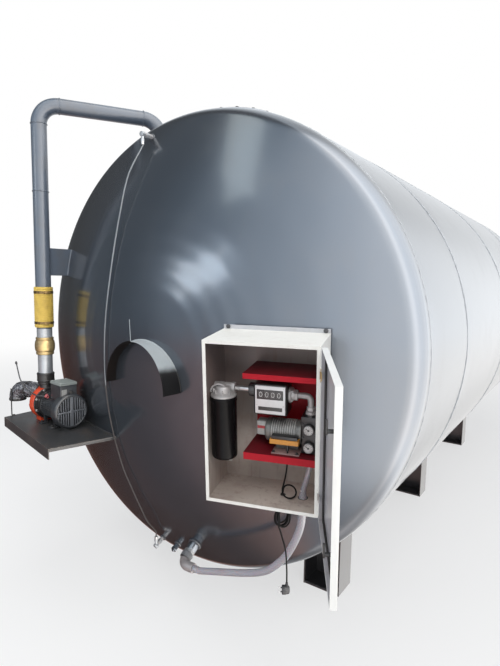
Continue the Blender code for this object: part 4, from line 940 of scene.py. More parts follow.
def buildPlug(end):
    tip = end - Vector((0, 0, seatGap))
    left = Vector((-0.82, -0.57, 0)).normalized()
    shape = bmesh.new()
    sleeve = []
    for k in range(7):
        height = -0.0005 - 0.0028 * k
        radius = 0.005 + 0.00045 * k
        sleeve += [(radius, height), (radius, height - 0.0016), (radius - 0.0009, height - 0.0018),
            (radius - 0.0009, height - 0.0027)]
    addLathe(shape, [(0, 0), (0.0044, 0)] + sleeve + [(0.0085, -0.0195), (0, -0.0195)], moved(tip), 24)
    middle = tip - Vector((0, 0, 0.034))
    grip = alongAxis(middle, left)
    body = [(0, -0.014), (0.0105, -0.0135), (0.015, -0.011), (0.0172, -0.006), (0.018, 0.002), (0.0195,
        0.0045), (0.0195, 0.0185), (0.0188, 0.0198), (0, 0.02)]
    addLathe(shape, body, grip, 40)
    for side in (-1, 1):
        root = middle + Vector((0, 0, 0.0095 * side))
        addDisc(shape, root + left * 0.019, root + left * 0.026, 0.0029, 0.0005, 16, 0)
        addDisc(shape, root + left * 0.025, root + left * 0.037, 0.0024, 0.0011, 16, 1)
    for side in (-1, 1):
        across = left.cross(Vector((0, 0, 1)))
        spot = middle + across * (0.0178 * side)
        addBlock(shape, (-0.0015, -0.006, 0.002), (0.0015, 0.006, 0.017), alongAxis(spot, left), 0.0007, 0)
    return finishPiece("power_plug_detailed", shape, "plugGrey brightSteel", "power_plug")


buildSuctionHose()
buildPowerCord()
print("cords laid")


# tank: heads, shell courses, seams, manhole and legs
ripples = {"rings": ((0.31, 0.0011, 0.03), (0.4, 0.0014, 0.034), (0.49, 0.0012, 0.03), (0.585, 0.001, 0.032),
    (0.7, 0.0008, 0.04), (0.9, 0.0006, 0.05)), "buckle": 0.0012, "steps": 192}


def headWobble(x, rise):
    # how far the spun plate stands off its true shape
    reach = hypot(x, rise)
    lift = 0
    for radius, height, width in ripples["rings"]:
        lift += height * exp(-((reach - radius) / width) ** 2)
    lift += ripples["buckle"] * noise.noise(Vector((x * 2.1, 3, rise * 2.1)))
    return lift * min(1, max(0, (1.12 - reach) / 0.15))


def buildHead(name, node, front):
    shape = bmesh.new()
    steps, edge = ripples["steps"], -tank["flange"] + seatGap
    frameHere = tankFrame if front else moved(place(0, tank["length"], 0)) @ turned(radians(-90), "X")
    rings = []
    for radius, height in headLine(0, 66, 18) + [(tank["radius"], -0.012), (tank["radius"], edge)]:
        ring = []
        for t in turns(steps if radius > 1e-6 else 1):
            x, y = radius * cos(t), radius * sin(t)
            lift = headWobble(x, y if front else -y) - 0.0006
            ring.append(shape.verts.new(frameHere @ Vector((x, y, height + min(lift, 0.004)))))
        rings.append(ring)
    rings.append([shape.verts.new(p) for p in ringPoints(tank["radius"] - tank["plate"], edge, steps,
        frameHere)])
    skinRings(shape, rings)
    finishPiece(name, shape, "tank", node, angle=50)


def shellWobble(y, angle, start, end):
    # rolled plate: faint flats along it, drawn in a little at the welded seams
    edge = min(y - start, end - y)
    drawn = -0.0016 * exp(-(edge / 0.055) ** 2)
    wave = 0.001 * noise.noise(Vector((cos(angle) * 2.4, y * 1.3, sin(angle) * 2.4)))
    wave += 0.0005 * sin(angle * 14 + 2 * y)
    return drawn + wave - 0.0004


manhole = {"y": 0.33, "radius": 0.2, "height": 0.024, "rim": 0.25, "plate": 0.012, "bolts": 16,
    "circle": 0.229, "cut": 0.162}


def buildCourse(number, start, end):
    shape = bmesh.new()
    steps, rows = 180, max(8, round((end - start) / 0.055))
    last = end - seatGap
    rings = []
    for row in range(rows + 1):
        y = start + (last - start) * row / rows
        radii = [(t, tank["radius"] + shellWobble(y, t, start, end)) for t in turns(steps)]
        rings.append([shape.verts.new(place(r * cos(t), y, r * sin(t))) for t, r in radii])
    skinRings(shape, rings)
    inside = tank["radius"] - tank["plate"]
    for ring, y in ((rings[0], start), (rings[-1], last)):
        inner = [shape.verts.new(place(inside * cos(t), y, inside * sin(t))) for t in turns(steps)]
        for k in range(steps):
            j = (k + 1) % steps
            addFace(shape, (ring[k], ring[j], inner[j], inner[k]))
    if number == 1:
        hole, cover = place(0, manhole["y"], 0), []
        for face in shape.faces:
            middle = face.calc_center_median()
            if middle.z > axisZ + 1 and hypot(middle.x - hole.x, middle.y - hole.y) < manhole["cut"]:
                cover.append(face)
        bmesh.ops.delete(shape, geom=cover, context="FACES")
    finishPiece(f"shell_plate_{number}", shape, "tank", f"shell_course_{number}", angle=50)


def buildSeams():
    # round seams between the plates, and one seam along each plate
    shape = bmesh.new()
    reach = tank["radius"] - 0.0022
    for number, y in enumerate(tank["seams"]):
        line = [place(reach * cos(t), y, reach * sin(t)) for t in turns(420)]
        addBead(shape, line, 0.0036, 0, True, number * 7)
    for number, (start, end) in enumerate(zip(tank["seams"], tank["seams"][1:])):
        angle = radians((128, 58, 122, 64)[number])
        count = max(20, round((end - start) / 0.012))
        line = [place(1.2478 * cos(angle), start + (end - start) * k / count, 1.2478 * sin(angle))
            for k in range(count + 1)]
        addBead(shape, line, 0.0045, 0, False, 40 + number)
    finishPiece("shell_seams", shape, "seamBead", None, angle=60)


def buildManhole():
    crown = tank["radius"]
    top = crown + manhole["height"]
    centre = place(0, manhole["y"], 0)
    neck = bmesh.new()
    wall, rim, hole = manhole["radius"] + tank["plate"], manhole["rim"], manhole["radius"]
    low = top - manhole["plate"]
    ring = [(hole, crown - 0.03), (wall, crown - 0.045), (wall, low - 0.002), (wall + 0.004, low),
        (rim - 0.001, low), (rim, low + 0.001), (rim, top - 0.001), (rim - 0.001, top), (hole, top)]
    addLathe(neck, ring, moved(centre), 96, 0, True)
    bead = []
    for t in turns(140):
        x = (wall + 0.002) * cos(t)
        bead.append(centre + Vector((x, (wall + 0.002) * sin(t), sqrt(crown ** 2 - x ** 2) + 0.001)))
    addBead(neck, bead, 0.006, 1, True, 3)
    finishPiece("manhole_neck_welded", neck, "tank weld", "manhole_neck")
    lid = bmesh.new()
    lidLow = top + seatGap
    addLathe(lid, roundedProfile(rim, lidLow, lidLow + manhole["plate"], 0.0015), moved(centre), 96)
    finishPiece("manhole_lid_plate", lid, "tank", "manhole_lid")
    bolts = bmesh.new()
    for t in turns(manhole["bolts"], 0.5):
        spot = centre + Vector((manhole["circle"] * cos(t), manhole["circle"] * sin(t), 0))
        addBolt(bolts, moved(spot + Vector((0, 0, lidLow + manhole["plate"]))) @ turned(t * 3.1, "Z"), 0.017,
            0.007)
        under = moved(spot + Vector((0, 0, low))) @ turned(pi, "X") @ turned(t * 1.7, "Z")
        addBolt(bolts, under, 0.017, 0.006)
        addDisc(bolts, spot + Vector((0, 0, low - 0.006)), spot + Vector((0, 0, low - 0.01)), 0.005, 0.001,
            16)
    finishPiece("manhole_bolts", bolts, "motorGrey", None)


legs = {"rows": (0.54, 2.22, 3.9), "inner": 0.456, "outer": 0.692, "depth": 0.17, "plate": 0.008}


def shellTop(x):
    return sqrt(tank["radius"] ** 2 - x ** 2)


def buildLegWelds():
    # beads where each leg meets the shell
    shape = bmesh.new()
    for row, y in enumerate(legs["rows"]):
        for side in (-1, 1):
            front, back = y - legs["depth"] / 2, y + legs["depth"] / 2
            for edge in (legs["inner"], legs["outer"]):
                for shift in (-0.004, 0.004) if row == 0 else (0.004 if edge == legs["outer"] else -0.004,):
                    inward = edge == legs["inner"] and shift > 0 or edge == legs["outer"] and shift < 0
                    x = side * (edge + shift * 2.6) if inward else side * (edge + shift)
                    line = [place(x, front + legs["depth"] * k / 16, -shellTop(x) - 0.001) for k in range(17)]
                    addBead(shape, line, 0.0062, 0, False, row + edge + shift * 100)
            line = []
            for k in range(22):
                x = side * (legs["inner"] + (legs["outer"] - legs["inner"]) * k / 21)
                line.append(place(x, back + 0.003, -shellTop(x) - 0.001))
            addBead(shape, line, 0.0062, 0, False, row * 3 + side)
    finishPiece("leg_welds", shape, "weld", None, angle=60)


def buildLegFeet():
    # a bead along each foot plate, and weld spots up the leg's left flange
    shape = bmesh.new()
    for row, y in enumerate(legs["rows"]):
        for side in (-1, 1):
            low = (side * legs["inner"], side * legs["outer"])
            left, right = min(low) + legs["plate"], max(low) - legs["plate"]
            front, floor = y - legs["depth"] / 2, -axisZ
            line = [place(left + (right - left) * k / 18, front + 0.01, floor + 0.0105) for k in range(19)]
            addBead(shape, line, 0.004, 0, False, row * 5 + side)
            for k in range(9):
                height = floor + 0.16 + 0.085 * k + 0.02 * noise.noise(Vector((k, row, side)))
                reach = 0.014 + 0.01 * noise.noise(Vector((k * 3.1, row, side)))
                bead = [place(left + 0.0012, front + legs["depth"] - legs["plate"] - 0.002, height + reach
                    * j / 4) for j in range(5)]
                addBead(shape, bead, 0.0045, 1, False, k * 2)
    finishPiece("leg_foot_welds", shape, "legPaint coverGrey", None, angle=60)


buildHead("front_head_spun", "front_head", True)
buildHead("rear_head_spun", "rear_head", False)
for number, (start, end) in enumerate(zip(tank["seams"], tank["seams"][1:]), 1):
    buildCourse(number, start, end)
buildSeams()
buildManhole()
for row in (1, 2, 3):
    for side in ("left", "right"):
        dress(f"leg_{row}_{side}", paint["legPaint"], 0.0018)
buildLegWelds()
buildLegFeet()
print("tank built")


# fill pipe, riser and sleeve
pipe = {"top": 1.362, "run": 0.724, "bend": 0.115, "drop": 0.6,
    "direction": Vector((0.53, 0.848, 0)).normalized(), "pumpOutlet": -0.2855, "coupling": -0.23,
    "nipple": -0.117, "brass": -0.011, "sleeveLow": 0.051, "sleeveTop": 0.295}


def buildFillPipe():
    up = Vector((0, 0, 1))
    way = pipe["direction"]
    foot = place(riser["x"], riser["y"], pipe["brass"] + seatGap)
    corner = place(riser["x"], riser["y"], pipe["top"])
    far = corner + way * pipe["run"]
    landing = Vector((far.x, far.y, axisZ + shellTop(far.x - axisX)))
    path = [foot.lerp(corner - up * pipe["bend"], k / 24) for k in range(24)]
    path += quarterBend(corner, up, way, pipe["bend"], 16)
    path += [(corner + way * pipe["bend"]).lerp(far - way * pipe["bend"], k / 12) for k in range(1, 12)]
    path += quarterBend(far, way, -up, pipe["bend"], 16)
    path.append(landing - up * 0.05)

    def dented(k, t):
        return riser["pipeRadius"] + 0.0004 * sin(3 * t + k * 0.3) * sin(k * 0.21)
    shape = bmesh.new()
    addTube(shape, path, dented, 48, 0)
    for centre, axis in ((corner - up * pipe["bend"], up), (corner + way * pipe["bend"], way),
            (far - way * pipe["bend"], way), (far - up * pipe["bend"], up),
            (place(riser["x"], riser["y"], 0.86), up)):
        side = axis.orthogonal().normalized()
        across = axis.cross(side)
        ring = [centre + (side * cos(t) + across * sin(t)) * (riser["pipeRadius"] + 0.0002)
            for t in turns(72)]
        addBead(shape, ring, 0.0034, 0, True, centre.z * 9)
    base = []
    for t in turns(96):
        x = far.x + 0.0465 * cos(t)
        base.append(Vector((x, far.y + 0.0465 * sin(t), axisZ + shellTop(x - axisX) + 0.001)))
    addBead(shape, base, 0.006, 0, True, 5)
    for face in shape.faces:
        if face.calc_center_median().z < axisZ + pipe["sleeveLow"] + 0.01:
            face.material_index = 1
    finishPiece("fill_pipe_welded", shape, "pipePaint galvanised", "fill_pipe", angle=50)
    dress("pipe_bracket", paint["pipePaint"], 0.0015)
    welds = bmesh.new()
    for side in (-1, 1):
        line = [place(riser["x"] + side * 0.006, riser["y"] + riser["pipeRadius"] * 0.985, 0.368 + 0.16
            * k / 20) for k in range(21)]
        addBead(welds, line, 0.0045, 0, False, side * 4)
        line = [onHead(riser["x"] + side * 0.006, 0.368 + 0.16 * k / 20, 0.0005) for k in range(21)]
        addBead(welds, line, 0.0045, 0, False, side * 6)
    finishPiece("pipe_bracket_welds", welds, "pipePaint", None, angle=60)


def buildRiser():
    nipple = bmesh.new()
    low = pipe["pumpOutlet"] + seatGap
    high = pipe["coupling"]
    line = [(0, low), (0.0455, low), (0.05, low + 0.004), (0.05, high - 0.004), (0.047, high), (0, high)]
    addLathe(nipple, line, riserFrame, 56, 1)
    addLathe(nipple, [(0.0424, high - 0.002), (0.0424, pipe["nipple"]), (0, pipe["nipple"])], riserFrame, 56)
    for height in (low + 0.004, high - 0.012):
        addLathe(nipple, roundedProfile(0.0515, height, height + 0.008, 0.002), riserFrame, 56, 1)
    finishPiece("riser_nipple_turned", nipple, "galvanised blackPlastic", "riser_nipple")
    brass = bmesh.new()
    bottom, top = pipe["nipple"] + seatGap, pipe["brass"]
    middle = (bottom + top) / 2
    line = [(0, bottom), (0.049, bottom), (0.0515, bottom + 0.003), (0.0515, bottom + 0.013), (0.05,
        bottom + 0.015), (0.05, bottom + 0.018)]
    for k in range(13):
        t = pi * k / 12
        line.append((0.052 + 0.006 * sin(t) ** 0.6, bottom + 0.019 + (top - bottom - 0.038) * k / 12))
    line += [(0.05, top - 0.018), (0.05, top - 0.015), (0.0515, top - 0.013), (0.0515, top - 0.003), (0.049,
        top), (0, top)]
    addLathe(brass, line, riserFrame, 64)
    for k in range(2):
        turn = riserFrame @ moved((0, 0, middle)) @ turned(pi * k + 0.5, "Z")
        addBlock(brass, (0.048, -0.011, -0.012), (0.0578, 0.011, 0.012), turn, 0.003)
    finishPiece("brass_coupling_ribbed", brass, "brass", "brass_coupling")
    sleeve = bmesh.new()
    inner = riser["pipeRadius"] + seatGap
    low, high = pipe["sleeveLow"], pipe["sleeveTop"]
    line = [(inner, low), (0.0525, low), (0.0535, low + 0.002)]
    ribs = 20
    for k in range(ribs * 6 + 1):
        height = low + 0.004 + (high - low - 0.008) * k / (ribs * 6)
        line.append((0.0545 - 0.0018 * max(0, cos(pi * k / 3)) ** 2, height))
    line += [(0.0535, high - 0.002), (0.0525, high), (inner, high)]
    addLathe(sleeve, line, riserFrame, 64, 0, True)
    for height, lean in ((low + 0.02, -0.35), (high - 0.04, -0.25)):
        addLathe(sleeve, roundedProfile(0.0556, height, height + 0.016, 0.0008, 0.052), riserFrame, 64, 1,
            True)
        turn = riserFrame @ turned(lean, "Z")
        addBlock(sleeve, (0.053, -0.013, height - 0.001), (0.064, 0.013, height + 0.016), turn, 0.002, 1)
        addDisc(sleeve, (0.059, -0.021, height + 0.008), (0.059, 0.022, height + 0.008), 0.0048, 0.001, 16, 1,
            turn)
        # sixteen near-black marks round each band: painted shade in the clamp's slots
        for t in turns(16):
            notch = riserFrame @ turned(t + 0.1, "Z")
            addBlock(sleeve, (0.0553, -0.0016, height + 0.003), (0.056, 0.0016, height + 0.013), notch,
                0.0002, 2, 1)
    finishPiece("hose_sleeve_ribbed", sleeve, "sleeveYellow clampBrown darkGap", "hose_sleeve")


buildFillPipe()
buildRiser()
print("fill pipe built")


# pump: volute, motor, fan cover, suction elbow, priming wire, and the shelf under them
pump = {"volute": 0.102, "back": -0.036, "front": 0.036, "adaptor": 0.08, "motor": 0.078, "motorEnd": 0.265,
    "cover": 0.102, "coverEnd": 0.33, "grille": 0.091, "floor": -0.1087, "suction": 0.058}
alongShaft = pumpFrame @ alongX


def buildVolute():
    shape = bmesh.new()
    # the case: a rounded scroll that swells a little on its way round
    steps, ribs = 72, 14
    rings = []
    for t in turns(steps):
        swell = 0.0985 + 0.0035 * ((t / (2 * pi) + 0.25) % 1)
        ring = []
        for j in range(ribs + 1):
            a = pi * j / ribs
            x = -0.0335 * cos(a)
            r = swell - 0.018 * (1 - sin(a) ** 0.55)
            ring.append(shape.verts.new(pumpFrame @ Vector((x, r * sin(t), r * cos(t)))))
        rings.append(ring)
    for k in range(steps):
        a, b = rings[k], rings[(k + 1) % steps]
        for j in range(ribs):
            addFace(shape, (a[j], a[j + 1], b[j + 1], b[j]))
    back = shape.verts.new(pumpFrame @ Vector((-0.0345, 0, 0)))
    front = shape.verts.new(pumpFrame @ Vector((0.0345, 0, 0)))
    for k in range(steps):
        a, b = rings[k], rings[(k + 1) % steps]
        addFace(shape, (back, a[0], b[0]))
        addFace(shape, (front, b[-1], a[-1]))
    top = pipe["pumpOutlet"] + 0.415
    neck = [(0.04, 0.072), (0.037, 0.086), (0.0362, top - 0.016), (0.046, top - 0.013), (0.047, top - 0.011),
        (0.047, top - 0.001), (0.046, top), (0, top)]
    addLathe(shape, neck, riserFrame @ moved((0, 0, -0.415)), 48, 1)
    addBlock(shape, (-0.031, -0.054, pump["floor"] + seatGap), (0.031, 0.054, -0.06), pumpFrame, 0.006, 0, 3)
    boss = [(0, pump["back"] - 0.014), (0.036, pump["back"] - 0.014), (0.04, pump["back"] - 0.01), (0.04,
        -0.02), (0, -0.016)]
    addLathe(shape, boss, pumpFrame @ moved((0, 0, pump["suction"])) @ alongX, 48)
    for t in turns(8, 0.5):
        spot = alongShaft @ turned(t, "Z") @ moved((0.087, 0, pump["front"] - 0.012))
        addDisc(shape, (0, 0, -0.014), (0, 0, 0.0118), 0.0085, 0.001, 20, 0, spot)
    finishPiece("pump_volute_cast", shape, "pumpOrange blackPlastic", "pump_volute")


def buildMotor():
    shape = bmesh.new()
    start = pump["front"] + seatGap
    # black flange and adaptor against the volute
    flange = [(0, start), (0.095, start), (0.0965, start + 0.0015), (0.0965, start + 0.0095), (0.095,
        start + 0.011), (pump["adaptor"] + 0.001, start + 0.012), (0.0815, start + 0.03), (0.0815, 0.079),
        (0.07, 0.08), (0, 0.08)]
    addLathe(shape, flange, alongShaft, 72, 1)
    for t in turns(8, 0.5):
        spot = alongShaft @ turned(t, "Z") @ moved((0.0885, 0, start + 0.011))
        addBolt(shape, spot, 0.01, 0.0055, True, 2)
    # finned housing
    core = 0.0685
    addLathe(shape, [(0, 0.079), (core, 0.079), (core, pump["motorEnd"]), (0, pump["motorEnd"])], alongShaft,
        72)
    for t in turns(40):
        reach = pump["motor"] - (0.002 if cos(t) < -0.8 else 0)
        turn = pumpFrame @ turned(t, "X")
        addBlock(shape, (0.086, -0.0011, core - 0.002), (pump["motorEnd"] - 0.002, 0.0011, reach - 0.0004),
            turn, 0.0006, 0, 1)
    for x in (0.083, pump["motorEnd"] - 0.006):
        addLathe(shape, roundedProfile(0.0775, x, x + 0.006, 0.001), alongShaft, 72)
    # feet
    floor = pump["floor"] + seatGap
    for side in (-1, 1):
        low, high = sorted((side * 0.04, side * 0.082))
        for x in (0.064, 0.196):
            addBlock(shape, (x, low, floor), (x + 0.04, high, floor + 0.01), pumpFrame, 0.002)
            edge = [(-0.004, 0), (0.004, 0), (0.004, 0.052), (-0.004, 0.052)]
            rib = pumpFrame @ moved((x + 0.02, side * 0.046, floor + 0.008)) @ facingFront
            addPrism(shape, edge, -0.01, 0.01, rib, 0.0015)
            spot = pumpFrame @ moved((x + 0.02, side * 0.068, floor + 0.01))
            addBolt(shape, spot, 0.013, 0.007, True, 1)
    # terminal box with its lid, screws, gland and a blank label
    addBlocks(shape, pumpFrame, ((0.177, -0.053, 0.058), (0.3025, 0.046, 0.15), 0.006, 0, 3),
        ((0.175, -0.055, 0.1495), (0.3045, 0.048, 0.1675), 0.005, 4, 3))
    for x in (0.186, 0.294):
        for y in (-0.045, 0.038):
            addDisc(shape, (x, y, 0.166), (x, y, 0.169), 0.0042, 0.0008, 16, 2, pumpFrame)
    addBlock(shape, (0.302, -0.046, 0.09), (0.3032, -0.016, 0.128), pumpFrame, 0.0003, 3, 1)
    addDisc(shape, (0.3015, 0.01, 0.105), (0.3055, 0.01, 0.105), 0.014, 0.001, 24, 1, pumpFrame)
    addPrism(shape, hexOutline(0.024), 0, 0.01, pumpFrame @ moved((0.304, 0.01, 0.105)) @ alongX, 0.001, 1)
    finishPiece("pump_motor_finned", shape, "coverDark blackPlastic brightSteel plateGrey lidGrey",
        "pump_motor")


def buildFanCover():
    shape = bmesh.new()
    back, front = pump["motorEnd"] + seatGap, pump["coverEnd"]
    line = [(0.086, back), (0.0995, back + 0.006), (0.1018, back + 0.01), (pump["cover"], back + 0.016),
        (pump["cover"], front - 0.019), (0.1012, front - 0.012), (0.0985, front - 0.0055), (0.0945,
        front - 0.0015), (pump["grille"], front), (0.0865, front - 0.0006), (0.085, front - 0.0022), (0.0845,
        front - 0.006)]
    addLathe(shape, line, alongShaft, 96)
    # grille: a near-black disc behind it as painted shade inside the cover, then upright bars in two halves
    # with a cross between them
    addDisc(shape, (0, 0, front - 0.024), (0, 0, front - 0.0225), 0.09, 0.0004, 72, 1, alongShaft)
    bars = 12
    inner = 0.085
    for k in range(bars):
        y = -inner + 2 * inner * (k + 0.5) / bars
        reach = sqrt(max(0, inner ** 2 - y ** 2))
        if reach < 0.01:
            continue
        for side in (-1, 1):
            low, high = sorted((side * 0.006, side * (reach + 0.001)))
            addBlock(shape, (front - 0.0075, y - 0.0034, low), (front - 0.0018, y + 0.0034, high), pumpFrame,
                0.0012, 2, 2)
    addBlocks(shape, pumpFrame, ((front - 0.0075, -inner, -0.0045), (front - 0.0012, inner, 0.0045), 0.0012,
        2), ((front - 0.0075, -0.005, -inner), (front - 0.001, 0.005, inner), 0.0012, 2))
    addDisc(shape, (0, 0, front - 0.007), (0, 0, front - 0.0004), 0.014, 0.0012, 32, 2, alongShaft)
    for t in turns(4, 0.5):
        spot = alongShaft @ turned(t, "Z") @ moved((pump["cover"] - 0.0018, 0, back + 0.022)) @ turned(pi / 2,
            "Y")
        addLathe(shape, [(0, 0.0016), (0.003, 0.0014), (0.0042, 0)], spot, 16, 3)
    finishPiece("motor_fan_cover_slotted", shape, "coverDark darkGap grille brightSteel", "motor_fan_cover")


def buildElbow():
    suction = Vector((pump["back"] - 0.014, 0, pump["suction"]))
    start = suction - Vector((seatGap, 0, 0))
    down = Vector((0, 0, -1))
    left = Vector((-0.926, -0.378, 0)).normalized()
    corner = start + left * 0.206
    path = [start + left * (0.016 + (0.206 - 0.062 - 0.016) * k / 12) for k in range(12)]
    path += quarterBend(corner, left, down, 0.062, 18)
    end = corner + down * 0.076
    low = path[-1]
    path += [low.lerp(end, k / 4) for k in range(1, 5)]
    path = [pumpFrame @ p for p in path]

    def wrapped(k, t):
        change = noise.noise(Vector((k * 0.45, cos(t) * 1.7, sin(t) * 1.7)))
        fold = 0.0011 * sin(t * 3 + k * 1.1) + 0.0009 * sin(k * 1.9 + cos(t) * 2)
        fade = 0.55 + 0.45 * min(1, k / 5)
        return 0.0497 * (0.9 + 0.1 * min(1, k / 3)) + fade * (0.0016 * change + fold * 0.7)
    shape = bmesh.new()
    addTube(shape, path, wrapped, 64, 0)
    # hose coupling against the pump's boss, and the flange it stands on
    faceOn = pumpFrame @ moved(start) @ turned(radians(-90), "Y")
    addLathe(shape, [(0, 0), (0.044, 0), (0.046, 0.002), (0.046, 0.014), (0.044, 0.017), (0, 0.018)], faceOn,
        48, 1)
    base = pumpFrame @ moved(end)
    addLathe(shape, [(0, -0.001), (0.05, -0.001), (0.0515, 0.001), (0.0515, 0.012), (0.05, 0.014), (0,
        0.015)], base, 48, 1)
    # strap from the shelf up over the elbow's shoulder
    strapX, strapY = corner.x + 0.023, corner.y - 0.04
    floor = pump["floor"] + seatGap
    addBlock(shape, (strapX - 0.008, strapY - 0.0105, floor), (strapX + 0.008, strapY - 0.0085,
        start.z + 0.006), pumpFrame, 0.0006, 1, 1)
    addBlock(shape, (strapX - 0.008, strapY - 0.0105, floor), (strapX + 0.008, strapY + 0.01, floor + 0.0025),
        pumpFrame, 0.0006, 1, 1)
    for lift in (-0.004, 0.003):
        ring = []
        centre = start + left * 0.11
        side = Vector((-left.y, left.x, 0))
        for t in turns(64):
            ring.append(pumpFrame @ (centre + left * lift + (side * cos(t) + Vector((0, 0, 1)) * sin(t))
                * 0.0508))
        addTube(shape, ring, 0.0016, 8, 1, False, True)
    finishPiece("suction_elbow_wrapped", shape, "film rubber", "suction_elbow", angle=60)


def buildPrimingWire():
    outward = Vector((0, -0.667, 0.745)).normalized()
    seat = Vector((0.139, 0, 0)) + outward * (pump["motor"] + seatGap)
    handle = [seat + outward * 0.01, (0.108, -0.076, 0.066), (0.068, -0.087, 0.062), (0.012, -0.09, 0.067),
        (-0.041, -0.091, 0.076), (-0.092, -0.098, 0.098), (-0.132, -0.103, 0.136), (-0.153, -0.106, 0.185)]
    tip = Vector((-0.172, -0.109, 0.24))
    lead = Vector((-0.153, -0.106, 0.185))
    way = (tip - lead).normalized()
    ring = tip - way * 0.0085
    side = Vector((way.z, 0, -way.x)).normalized()
    route = handle + [ring - way * 0.0105]
    curl = [ring - way * (0.0085 * cos(a)) + side * (0.0085 * sin(a))
        for a in [radians(20 + 31 * k) for k in range(10)]]
    points = [pumpFrame @ p for p in smoothRoute(route, 0.006) + curl]
    shape = bmesh.new()
    addTube(shape, smoothRoute(points, 0.004), 0.0038, 12, 0)
    knob = alongAxis(pumpFrame @ seat, pumpFrame.to_3x3() @ outward)
    addLathe(shape, [(0, 0), (0.0085, 0), (0.0088, 0.003), (0.007, 0.006), (0.0078, 0.0085), (0.0112, 0.011),
        (0.012, 0.0145), (0.0115, 0.0185), (0.0085, 0.0212), (0, 0.022)], knob, 32, 1)
    finishPiece("priming_wire_bent", shape, "motorGrey pinkKnob", "priming_wire", angle=60)


def buildShelfDetails():
    dress("pump_shelf", paint["shelfPaint"], 0.0012)
    shape = bmesh.new()
    # ragged weld along the head
    way = (shelfFrame.to_3x3() @ Vector((0, 1, 0))).normalized()
    line = []
    for k in range(61):
        base = shelfFrame @ Vector((-0.8 + 0.8 * k / 60, 0, 0))
        far = reachHead(base, way, 0, 0.6, 24)
        if far < 0.44:
            line.append(base + way * (far - 0.002) + Vector((0, 0, 0.002)))
    addBead(shape, line, 0.005, 0, False, 9)
    finishPiece("pump_shelf_weld", shape, "shelfPaint", None, angle=60)


buildVolute()
buildMotor()
buildFanCover()
buildElbow()
buildPrimingWire()
buildShelfDetails()
print("pump built")


# hood over the suction hose, level gauge and outlets
hood = {"radius": 0.237, "plate": 0.004, "depth": 0.22, "rodAngle": 95, "rodHeight": 0.107, "rodLean": -0.008,
    "rodRadius": 0.0016}


def hoodReach(base, way):
    return reachHead(base, way, -0.05, 0.8, 30)


def buildHood():
    shape = bmesh.new()
    way = (hoodFrame.to_3x3() @ Vector((0, 0, -1))).normalized()
    steps, rows = 96, 14
    outer, inner = [], []
    for k in range(steps + 1):
        t = pi * k / steps
        rows0, rows1 = [], []
        for radius, rowsHere in ((hood["radius"], rows0), (hood["radius"] - hood["plate"], rows1)):
            base = hoodFrame @ Vector((radius * cos(t), radius * sin(t), 0))
            deep = hoodReach(base, way) + 0.001
            for j in range(rows + 1):
                bow = 0.0012 * sin(t * 5) * sin(pi * j / rows)
                point = base + way * (deep * j / rows)
                centre = hoodFrame @ Vector((0, 0, 0)) + way * (deep * j / rows)
                rowsHere.append(shape.verts.new(point - (point - centre).normalized() * (0.0006 + abs(bow))))
        outer.append(rows0)
        inner.append(rows1)
    # the inner sheet takes the near-black brown as painted shade
    for sheet, flip in ((outer, False), (inner, True)):
        for k in range(steps):
            for j in range(rows):
                quad = (sheet[k][j], sheet[k + 1][j], sheet[k + 1][j + 1], sheet[k][j + 1])
                addFace(shape, quad[::-1] if flip else quad, 1 if flip else 0)
    # the front rim; its left part takes the near-black brown as painted shade
    for k in range(steps):
        paintedShade = 1 if k > steps * 0.52 else 0
        addFace(shape, (outer[k][0], inner[k][0], inner[k + 1][0], outer[k + 1][0]), paintedShade)
    for k in (0, steps):
        for j in range(rows):
            addFace(shape, (outer[k][j], inner[k][j], inner[k][j + 1], outer[k][j + 1]))
    # weld bead along the head, two tabs, and the thin rod on its rim
    bead = []
    for k in range(90):
        t = pi * (0.012 + 0.976 * k / 89)
        base = hoodFrame @ Vector((hood["radius"] * cos(t), hood["radius"] * sin(t), 0))
        bead.append(base + way * (hoodReach(base, way) - 0.001))
    addBead(shape, bead, 0.0042, 0, False, 12)
    for angle in (101, 77):
        t = radians(angle)
        spot = hoodFrame @ turned(t, "Z") @ moved((hood["radius"] - 0.0035, 0, 0))
        addBlock(shape, (-0.001, -0.011, -0.03), (0.002, 0.011, 0), spot, 0.001)
    foot = Vector((cos(radians(hood["rodAngle"])), sin(radians(hood["rodAngle"])), 0))
    foot *= hood["radius"] - hood["plate"] / 2
    foot.z = -2 * hood["rodRadius"]
    rod = [hoodFrame @ (foot + Vector((hood["rodLean"] * k / 8, hood["rodHeight"] * k / 8, 0)))
        for k in range(9)]
    addTube(shape, rod, hood["rodRadius"], 12, 0)
    finishPiece("hose_hood_arched", shape, "hood sootBrown", "hose_hood", angle=50)


